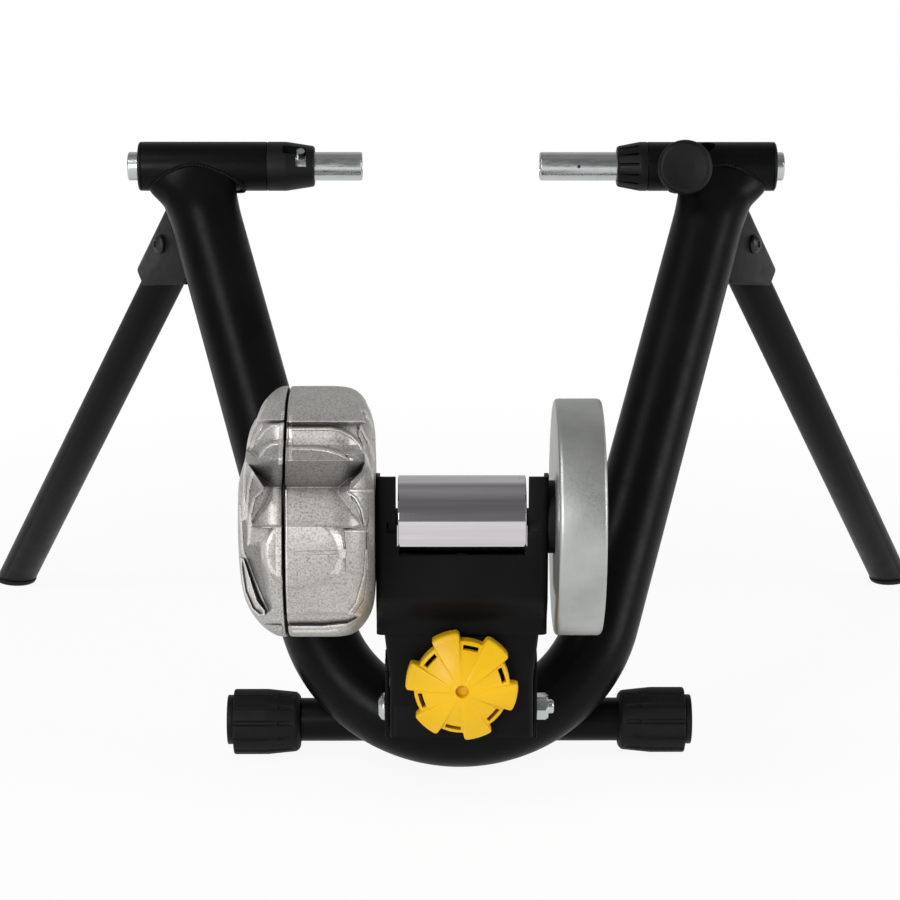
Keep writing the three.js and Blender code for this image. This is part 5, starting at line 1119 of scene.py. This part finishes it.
FOOT_COVER = [(-131.1, -52.9), (-119.9, -53.7), (-120, -64.4), (-126.1, -64.4)]
RIM = [
    (-54.7, 72.1), (-56.7, 40.7), (-57.1, -29.5), (-60.4, -36.7), (-68.6, -48.1), (-71.7, -46.5),
    (-64.8, -35.5), (-62.8, -17.5), (-62.8, 11.1), (-58.3, 38.3), (-58.7, 50.1), (-61.2, 58.3),
    (-63.9, 66.5), (-68.4, 77), (-67.2, 81.7), (-63.8, 80.5), (-58.7, 72.4),
]
STRIPS = [
    [(-118.1, 91.3), (-115.2, 91.3), (-115.9, 56), (-120.7, 55.4)],
    [(-113.5, 89), (-111, 88.9), (-111.4, 58.3), (-113.9, 57.8)],
    [(-116.3, 39.5), (-114.8, 39.5), (-115.8, -49.9), (-117.2, -49.9)],
    [(-122.9, 13.8), (-119, 13.8), (-119.5, -19.8), (-123.4, -19.8)],
]
RIDGES = [
    [(-124.7, 104.1), (-128.9, 96.3), (-133.3, 86.4)],
    [(-134.3, 84.8), (-137.8, 76.5), (-140.5, 67.5)],
    [(-130.7, 82.2), (-135.3, 74.7), (-138.4, 66.3)],
    [(-142.4, 59.5), (-142.7, 40.7), (-144, 18.9)],
    [(-137.1, 50.7), (-140, 40.7), (-141.3, 28.9), (-142.4, 19.5)],
    [(-131.8, 38.1), (-136.4, 33.7), (-139.1, 23), (-140.9, 1.9)],
    [(-64.3, 91.6), (-58.1, 80.5), (-56.1, 72.9)],
    [(-67.2, 81.5), (-61.6, 70.6), (-58.2, 59.5)],
    [(-75.5, 37.2), (-70.4, 33.4), (-66.4, 25.3), (-64.4, 15.6)],
    [(-75.5, 38.3), (-58.1, 38.1)],
    [(-77.8, 11.1), (-63.5, 11.1)],
    [(-66, 91.6), (-62.8, 90.4)],
    [(-63.6, -2), (-64.4, -17.5), (-70, -37.9), (-75.4, -45.1), (-68, -46.1)],
    [(-146.1, 28.3), (-144.8, -1.9), (-139.3, -17.4), (-129.8, -41.7)],
    [(-131, 14.2), (-119.3, 14.2)],
]
EDGES = [
    [(-111, 84.3), (-64.9, 84.3)],
    [(-134.7, 85.2), (-118.1, 85.2)],
    [(-111, 66.5), (-98.1, 66.5), (-87.8, 65.1), (-79.9, 62.4), (-72.5, 58.8)],
    [
        (-110.8, 79.4), (-86.6, 79.6), (-79.8, 78.2), (-73, 74.5), (-67.9, 69.4), (-63.9, 63), (-60, 52.4),
        (-58.3, 43),
    ],
    [(-118.2, 82.4), (-124.7, 81.7), (-129.3, 78.2), (-133.3, 73)],
    [(-118.3, 70.2), (-124.8, 69.6), (-128.8, 67), (-132.8, 60.9)],
    [(-112.6, -54.3), (-92.4, -54.4), (-77.3, -52.9)],
    [(-112.1, -57.4), (-92.4, -57.4), (-83.1, -56.5)],
    [(-143.7, -9.3), (-135.5, -43.2), (-132.5, -45.3)],
]
NICKS = [
    [(-58.7, 73.5), (-55.7, 73.5), (-55.7, 68.9), (-58.8, 68.9)],
    [(-61.7, 57.1), (-55.7, 57.1), (-55.7, 53.9), (-61.7, 53.9)],
    [(-62.3, 48.3), (-56.9, 48.3), (-56.9, 44.8), (-62.3, 44.8)],
    [(-62.5, 8.1), (-57.1, 8.1), (-57.1, 4.6), (-62.5, 4.6)],
    [(-64.9, -15.7), (-57.2, -15.7), (-57.2, -19.3), (-65, -19.3)],
    [(-61, -25.3), (-57.3, -25.3), (-57.3, -30.1), (-61, -30.1)],
]


def any_inside(spots, outlines):
    return np.max([inside(spots, outline) for outline in outlines], axis=0)


def stand(height, level, distance, width):
    """Bring the height to a level inside an outline, over a slope that ends on the outline."""
    share = step_up(distance + width / 2, width)
    return height * (1 - share) + level * share


def in_disc(x, z):
    """Distance to the edge of the round boss in millimetres, positive inside it."""
    return 27.4 - np.hypot(x + 104.9, (z + 3.4) * 1.06)


def relief(spots):
    """How far the castings stand out from their turned form towards the viewer, in millimetres."""
    x, z = spots[:, 0], spots[:, 1]
    height = np.zeros(len(spots))
    # Terraces and the top panel
    height = stand(height, np.interp(z, [69, 82], [2, 10]), any_inside(spots, TERRACE_ONE), 2.6)
    height = stand(height, np.interp(z, [58.6, 70], [17.5, 12.5]), any_inside(spots, TERRACE_TWO), 2.8)
    height = stand(height, 5.5, any_inside(spots, [TOP_PANEL, TOP_COVER]), 1.2)
    # Valley under the brow
    wall = inside(spots, VALLEY)
    floor = np.interp(z, [13, 40.7, 58.6, 66], [0.8, -9, 17.5, 24])
    side = np.where(x < -118, 3.4, 2.2) - np.where(x < -118, 2.2, 1.7) * np.clip(wall, 0, None)
    side = np.where(z > 57, -99, side)
    height = stand(height, np.maximum(floor, side), wall, 0.5)
    # Round boss with its crease
    slope = np.where(x < -105, 2.2, 5.0)
    disc_share = np.clip(in_disc(x, z) / slope, 0, 1) * (z < 14.3)
    raised = (4.2 + 0.3 * np.clip(-x - 120, 0, 20)) * disc_share
    height = np.where(z < 14.3, np.maximum(height, raised), height)
    crease = (np.abs(x + 94) < 17) * step_up(1.3 - np.abs(z + 3.6 - 0.03 * (x + 94)), 0.7)
    height = height - 0.8 * crease
    # Tab, band, blade and rim
    height = stand(height, 1.6, inside(spots, TAB), 0.6)
    height = stand(height, -5.5, inside(spots, BAND), 4.5)
    blade = inside(spots, BLADE)
    height = stand(height, 2.2, blade, 0.7)
    height = stand(height, -3.5, blade - 1.5, 0.8)
    rim = inside(spots, RIM)
    height = stand(height, 1.8, rim, 0.7)
    nick = step_up(0.5 - np.abs(any_inside(spots, NICKS)), 0.6)
    height = np.where(rim > 0, height - 1.6 * nick, height)
    # Dip and lip at the foot
    dip = step_up(-45 - z, 3.0) * step_up(z + 60, 2.0) * step_up(-68 - x, 5.0) * (x > -116)
    height = height - 2.2 * dip
    lip = any_inside(spots, [FOOT, FOOT_COVER])
    height = stand(height, np.interp(x, [-78, -67], [2.6, 0.3]), lip, 0.9)
    height = stand(height, np.interp(x, [-78, -67], [1.2, 0.1]), lip - 2.4, 0.9)
    height = height + 1.2 * step_up(any_inside(spots, STRIPS), 0.6)
    for line in RIDGES:
        height = height + 1.7 * step_up(0.75 - near_line(spots, line), 0.7)
    for line in EDGES:
        height = height + 0.5 * step_up(0.6 - near_line(spots, line), 0.6)
    return height


def painted_light_map(spots):
    """How much painted light each spot of the castings gets: 1 a painted highlight, 0.5 none, 0 painted
    shade.
    """
    x, z = spots[:, 0], spots[:, 1]
    disc = in_disc(x, z)
    # Painted highlights on the boss's bevel ring, the blade, the strips, the ridges and the edges
    ring = step_up(disc, 0.8) * step_up(4 - disc, 2.0) * (np.abs(x + 105) > 13) * (np.abs(z + 2) < 16)
    bright = step_up(inside(spots, BLADE), 0.8) + 0.5 * step_up(any_inside(spots, STRIPS), 0.6) + 0.9 * ring
    for line in RIDGES:
        bright = bright + 0.75 * step_up(0.8 - near_line(spots, line), 0.7)
    for line in EDGES:
        bright = bright + 0.5 * step_up(0.7 - near_line(spots, line), 0.6)
    bright = np.clip(bright, 0, 1)
    # Painted shade in the band and on the upper face of the valley under the brow
    dark = step_up(inside(spots, BAND), 3.0) + 0.45 * (z > 41) * step_up(inside(spots, VALLEY), 1.0)
    return 0.5 + 0.5 * bright - 0.5 * np.clip(dark, 0, 1) * (1 - bright)


def smooth_profile(knots, spacing):
    """A profile of (radius, along) through rounded corners, in steps of one length."""
    points = [Vector(knot) for knot in knots]
    for _ in range(3):
        cut = [points[0]]
        for here, there in zip(points[:-1], points[1:]):
            cut += [here * 0.75 + there * 0.25, here * 0.25 + there * 0.75]
        points = cut + [points[-1]]
    lengths = np.concatenate([[0], np.cumsum([(b - a).length for a, b in zip(points[:-1], points[1:])])])
    at = np.linspace(0, lengths[-1], round(lengths[-1] / spacing))
    return np.stack([np.interp(at, lengths, [p[i] for p in points]) for i in (0, 1)], 1)


SPLIT = -117.8
FADE_RADIUS = 46
PROFILE_STEP = 0.6


def casting(name, knots):
    """A turned casting, fine on its rear half and coarser on the front, which repeats the rear's relief."""
    profile = smooth_profile(knots, PROFILE_STEP)
    far_out = profile[:, 0] > FADE_RADIUS
    profile = np.concatenate([profile[far_out], profile[~far_out][::8], profile[-1:]])
    angle = np.concatenate([
        np.linspace(-np.pi / 2, np.pi / 2, 620, endpoint=False),
        np.linspace(np.pi / 2, np.pi * 1.5, 240, endpoint=False),
    ])
    count, turns = len(profile), len(angle)
    radius, along = profile[:, 0][:, None], profile[:, 1][:, None]
    # The top panel stands higher, the bottom is flatter and the cover is slimmer above its lower lobe
    lift = 3.0 * step_up(np.sin(angle) - 0.84, 0.1) - 2.6 * step_up(-np.sin(angle) - 0.86, 0.2)
    rim = radius + lift * np.clip((radius - 40) / 30, 0, 1)
    rise = rim * np.sin(angle)
    slim = 1 - 0.1 * step_up(rise - 36, 18) - 0.07 * step_up(rise - 64, 8)
    across = np.where(along < SPLIT, SPLIT + (along - SPLIT) * slim, along)
    ring = np.stack([across, -rim * np.cos(angle), rise], -1) * MM + np.array(ROLLER)
    flip = np.where(ring[..., 1] > ROLLER.y, -1, 1)
    rear = ring.copy()
    rear[..., 1] = ROLLER.y + (rear[..., 1] - ROLLER.y) * flip
    fade = np.clip((profile[:, 0] - FADE_RADIUS) / 12, 0, 1)[:, None]
    fade = fade * np.clip(1 - (rear[..., 1] - ROLLER.y + 0.012) / 0.01, 0, 1)
    height = relief(drawn(rear.reshape(-1, 3))).reshape(count, turns) * fade
    towards = np.array(camera.location) - rear
    towards /= np.linalg.norm(towards, axis=-1)[..., None]
    towards[..., 1] *= flip
    vertices = (ring + towards * height[..., None] * MM).reshape(-1, 3)
    index = np.arange(count * turns).reshape(count, turns)
    beside = np.roll(index, -1, 1)
    faces = np.stack([index[:-1], index[1:], beside[1:], beside[:-1]], -1).reshape(-1, 4).tolist()
    thing = make_object(name, vertices, faces, CAST_ALUMINIUM, 32)
    # The finished mesh has fewer vertices than the rings, so the painted highlights and shade of its spots
    # are worked out from its own
    spots = np.array([vertex.co for vertex in thing.data.vertices])
    spots[:, 1] = ROLLER.y - np.abs(spots[:, 1] - ROLLER.y)
    share = np.clip((ROLLER.y - 0.002 - spots[:, 1]) / 0.01, 0, 1)
    reach = np.hypot(spots[:, 1] - ROLLER.y, spots[:, 2] - ROLLER.z) / MM
    share = share * np.clip((reach - FADE_RADIUS) / 12, 0, 1)
    painted_light_level = 0.5 + (painted_light_map(drawn(spots)) - 0.5) * share
    thing.data.attributes.new("painted_light", "FLOAT", "POINT").data.foreach_set("value", painted_light_level.astype(np.float32))
    return thing


cover = casting("unit_cover_cast", [
    (68, -118.7), (82, -118.7), (83.6, -118.7), (84.4, -119.4), (84.4, -123), (83, -128), (77, -136.5),
    (66, -144.5), (52, -149.3), (30, -151.4), (0.05, -151.8),
])
body = casting("unit_body_cast", [
    (68, -116.9), (82, -116.9), (83.6, -116.9), (84.4, -116.2), (84.4, -100), (84.4, -80), (81, -71),
    (72, -63.5), (62, -60), (50, -59), (30, -59), (12.4, -59), (12.4, -66),
])
dress(cover, ["unit_cover"], "swing")
dress(body, ["unit_body"], "swing")
dress_turned("unit_seam_ring", ring_profile(77, 70, -118.6, -117),
             ROLLER, "unit_gasket", "swing", "rubber_black", 128, 0.2)
for number in range(1, 5):
    low, high = (Vector(corner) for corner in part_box(f"unit_screw_{number}"))
    half = (high.x - low.x) / 2 / MM
    dress_turned(f"unit_cap_screw_{number}", [
        (0, -half), (2.1, -half), (2.5, 0.4 - half), (2.5, half - 7.6), (3.3, half - 7.6), (3.6, half - 7.2),
        (3.6, half - 4.8), (3.2, half - 4.4), (1.5, half - 4.4), (1.5, half - 6), (0, half - 6),
    ], (low + high) / 2, f"unit_screw_{number}", "swing", "steel_dark", 24, 0.1)

# Tension knob: a dome whose six petals run on to lobes past the rim, with a slot between each two
KNOB_APEX = -58.84
KNOB_RIM = -37.6
KNOB_PHASE = 108
KNOB_DROP = 12.24
DOME = 33
LOBE_REACH = 5.6
LOBE_HALF = 15.6


def knob_height(r, petal):
    """How far the surface falls back from the apex, between the dome (0) and a petal (1)."""
    plain = KNOB_DROP * (r / DOME) ** 1.8
    raised = KNOB_DROP * (r / (DOME + LOBE_REACH)) ** 1.8
    return plain + (raised - plain) * petal


def knob_path(angle):
    """The knob's section at an angle, from the cap's middle over the rim to its bore, as (radius, along)."""
    off = abs((angle - KNOB_PHASE + 30) % 60 - 30)
    side = math.radians(LOBE_HALF - off) * 36
    if side <= -0.6:
        reach = DOME
    elif side < 0.2:
        reach = DOME + 3.4 * (side + 0.6) / 0.8
    else:
        share = 1 - min(1, (side - 0.2) / 2.2)
        reach = DOME + 3.4 + 2.2 * math.sqrt(1 - share * share)
    fillet = 1.5 + 1.3 * (reach - DOME) / LOBE_REACH
    path = [(0.01, -52.6), (4.2, -52.6), (4.4, -52.4)]
    path += [(4.4, KNOB_APEX + 1.4), (4.5, KNOB_APEX + 0.75), (4.9, KNOB_APEX + 0.35)]
    inner = reach - fillet
    for step in range(1, 27):
        r = 4.9 + (inner - 4.9) * step / 26
        petal = float(step_up(np.array(math.radians(LOBE_HALF - off) * max(r, 8)), 1.5))
        path.append((r, KNOB_APEX + knob_height(r, petal)))
    crest = path[-1][1]
    for step in range(1, 7):
        turn = math.radians(20 + 70 * step / 6)
        path.append((inner + fillet * math.sin(turn), crest + fillet * 1.1 * (1 - math.cos(turn))))
    path += [(reach, KNOB_RIM - 4), (reach, KNOB_RIM - 0.5), (reach - 0.5, KNOB_RIM), (reach - 3.0, KNOB_RIM)]
    path += [(reach - 3.3, KNOB_RIM - 0.4), (reach - 3.3, -43.2), (29, -44.6), (22, -49.2), (12, -53.4)]
    return path + [(10, -53.4), (10, -34.9), (9.7, -34.6), (5.3, -34.6), (5.3, -43.4), (0.01, -43.4)]


def tension_knob():
    fine = [14.6 + 0.3 * step for step in range(9)]
    coarse = [0, 2.5, 5, 7.5, 9.5, 11, 12, 13, 13.8, 18.5, 21, 24, 27]
    angles = set()
    for lobe in range(6):
        middle = KNOB_PHASE + 60 * lobe
        for offset in fine + coarse + [30]:
            angles |= {round((middle + offset) % 360, 4), round((middle - offset) % 360, 4)}
    angles = sorted(angles)
    paths = [knob_path(angle) for angle in angles]
    rows = []
    for spots in zip(*paths):
        rows.append([
            ROD + mm(r * math.cos(math.radians(angle)), along, r * math.sin(math.radians(angle)))
            for angle, (r, along) in zip(angles, spots)
        ])
    knob = loops("knob_petals", rows, KNOB_YELLOW, False, 50)
    slots = []
    for step in range(6):
        turn = Matrix.Translation(ROD) @ Matrix.Rotation(-math.radians(KNOB_PHASE + 30 + 60 * step), 4, "Y")
        shape = [(27.1, -5.2), (30.2, -5.5), (30.4, 0), (30.2, 5.5), (27.1, 5.2), (27.3, 0)]
        place = turn @ plane_at(Vector((0, -40 * MM, 0)), (1, 0, 0), (0, 0, 1))
        slots.append(prism("slot", shape, 22, place, KNOB_YELLOW))
    boolean(knob, slots)
    shade(knob, 38)
    dress(knob, ["tension_knob"], "knob")


tension_knob()

# Floor: white to the camera and to reflections, more so away from the part, so that soft shadows stay
floor_look, floor_shader = new_material("floor_look")
fill(floor_look, floor_shader, {"Base Color": (0.92, 0.92, 0.92, 1), "Roughness": 0.9})
white = add(floor_look, "ShaderNodeEmission", {"Strength": 1.0})
place = add(floor_look, "ShaderNodeTexCoord").outputs["Object"]
far = add(floor_look, "ShaderNodeVectorMath", {0: place}, operation="LENGTH").outputs["Value"]
fade = spread(floor_look, far, 0.7, 1.0, 0.45, 1.25, interpolation_type="SMOOTHSTEP")
whiter = spread(floor_look, fade, 0.72, 1.0, 0.0, 1.0)
ray = add(floor_look, "ShaderNodeLightPath").outputs
reflected = add(floor_look, "ShaderNodeMath", {0: fade, 1: ray["Is Glossy Ray"]}, operation="MULTIPLY")
direct = add(floor_look, "ShaderNodeMath", {0: whiter, 1: ray["Is Camera Ray"]}, operation="MULTIPLY")
both = {0: direct.outputs[0], 1: reflected.outputs[0]}
share = add(floor_look, "ShaderNodeMath", both, operation="MAXIMUM").outputs[0]
shaders = {0: share, 1: floor_shader.outputs[0], 2: white.outputs[0]}
blend = add(floor_look, "ShaderNodeMixShader", shaders).outputs[0]
fill(floor_look, floor_look.node_tree.nodes["Material Output"], {0: blend})
bpy.ops.mesh.primitive_plane_add(size=14, location=(0, 0, -0.0005))
floor = bpy.context.object
floor.name = "floor"
floor.data.materials.append(floor_look)
floor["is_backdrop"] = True

# World: white to the camera, a dark room over a white floor to reflections, lighter behind the part
ROOM = [(0.0, 1.0), (0.5, 1.0), (0.515, 0.22), (0.65, 0.2), (0.78, 0.17), (0.93, 0.16), (1.0, 0.3)]
world = bpy.data.worlds.new("world")
bpy.context.scene.world = world
world.use_nodes = True
ray = add(world, "ShaderNodeLightPath").outputs
direction = add(world, "ShaderNodeTexCoord").outputs["Generated"]
split = add(world, "ShaderNodeSeparateXYZ", {0: direction}).outputs
room = ramp(world, spread(world, split["Z"], 0.0, 1.0, -1, 1), [(spot, (level,) * 3) for spot, level in ROOM])
room = mixed(world, room, (0.55, 0.55, 0.55, 1), spread(world, split["Y"], 0.0, 1.0, 0.35, 0.6))
room = mixed(world, (0.36, 0.36, 0.36, 1), room, ray["Is Glossy Ray"])
seen = mixed(world, room, (1, 1, 1, 1), ray["Is Camera Ray"])
fill(world, world.node_tree.nodes["Background"], {"Color": seen, "Strength": 1.0})


def lamp(name, place, target, size, power):
    data = bpy.data.lights.new(name, "AREA")
    data.shape = "RECTANGLE"
    data.size, data.size_y = size
    data.energy = power
    thing = bpy.data.objects.new(name, data)
    thing.location = place
    thing.rotation_euler = (Vector(target) - Vector(place)).to_track_quat("-Z", "Y").to_euler()
    bpy.context.scene.collection.objects.link(thing)


lamp("key", (-1.1, -2.5, 0.85), (0, -0.1, 0.2), (1.0, 0.8), 29)
lamp("over", (-1.3, -1.3, 2.1), (0, -0.1, 0.2), (0.9, 0.7), 20)
lamp("fill", (2.2, -0.9, 0.9), (0, 0, 0.2), (0.8, 1.2), 22)

low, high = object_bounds()
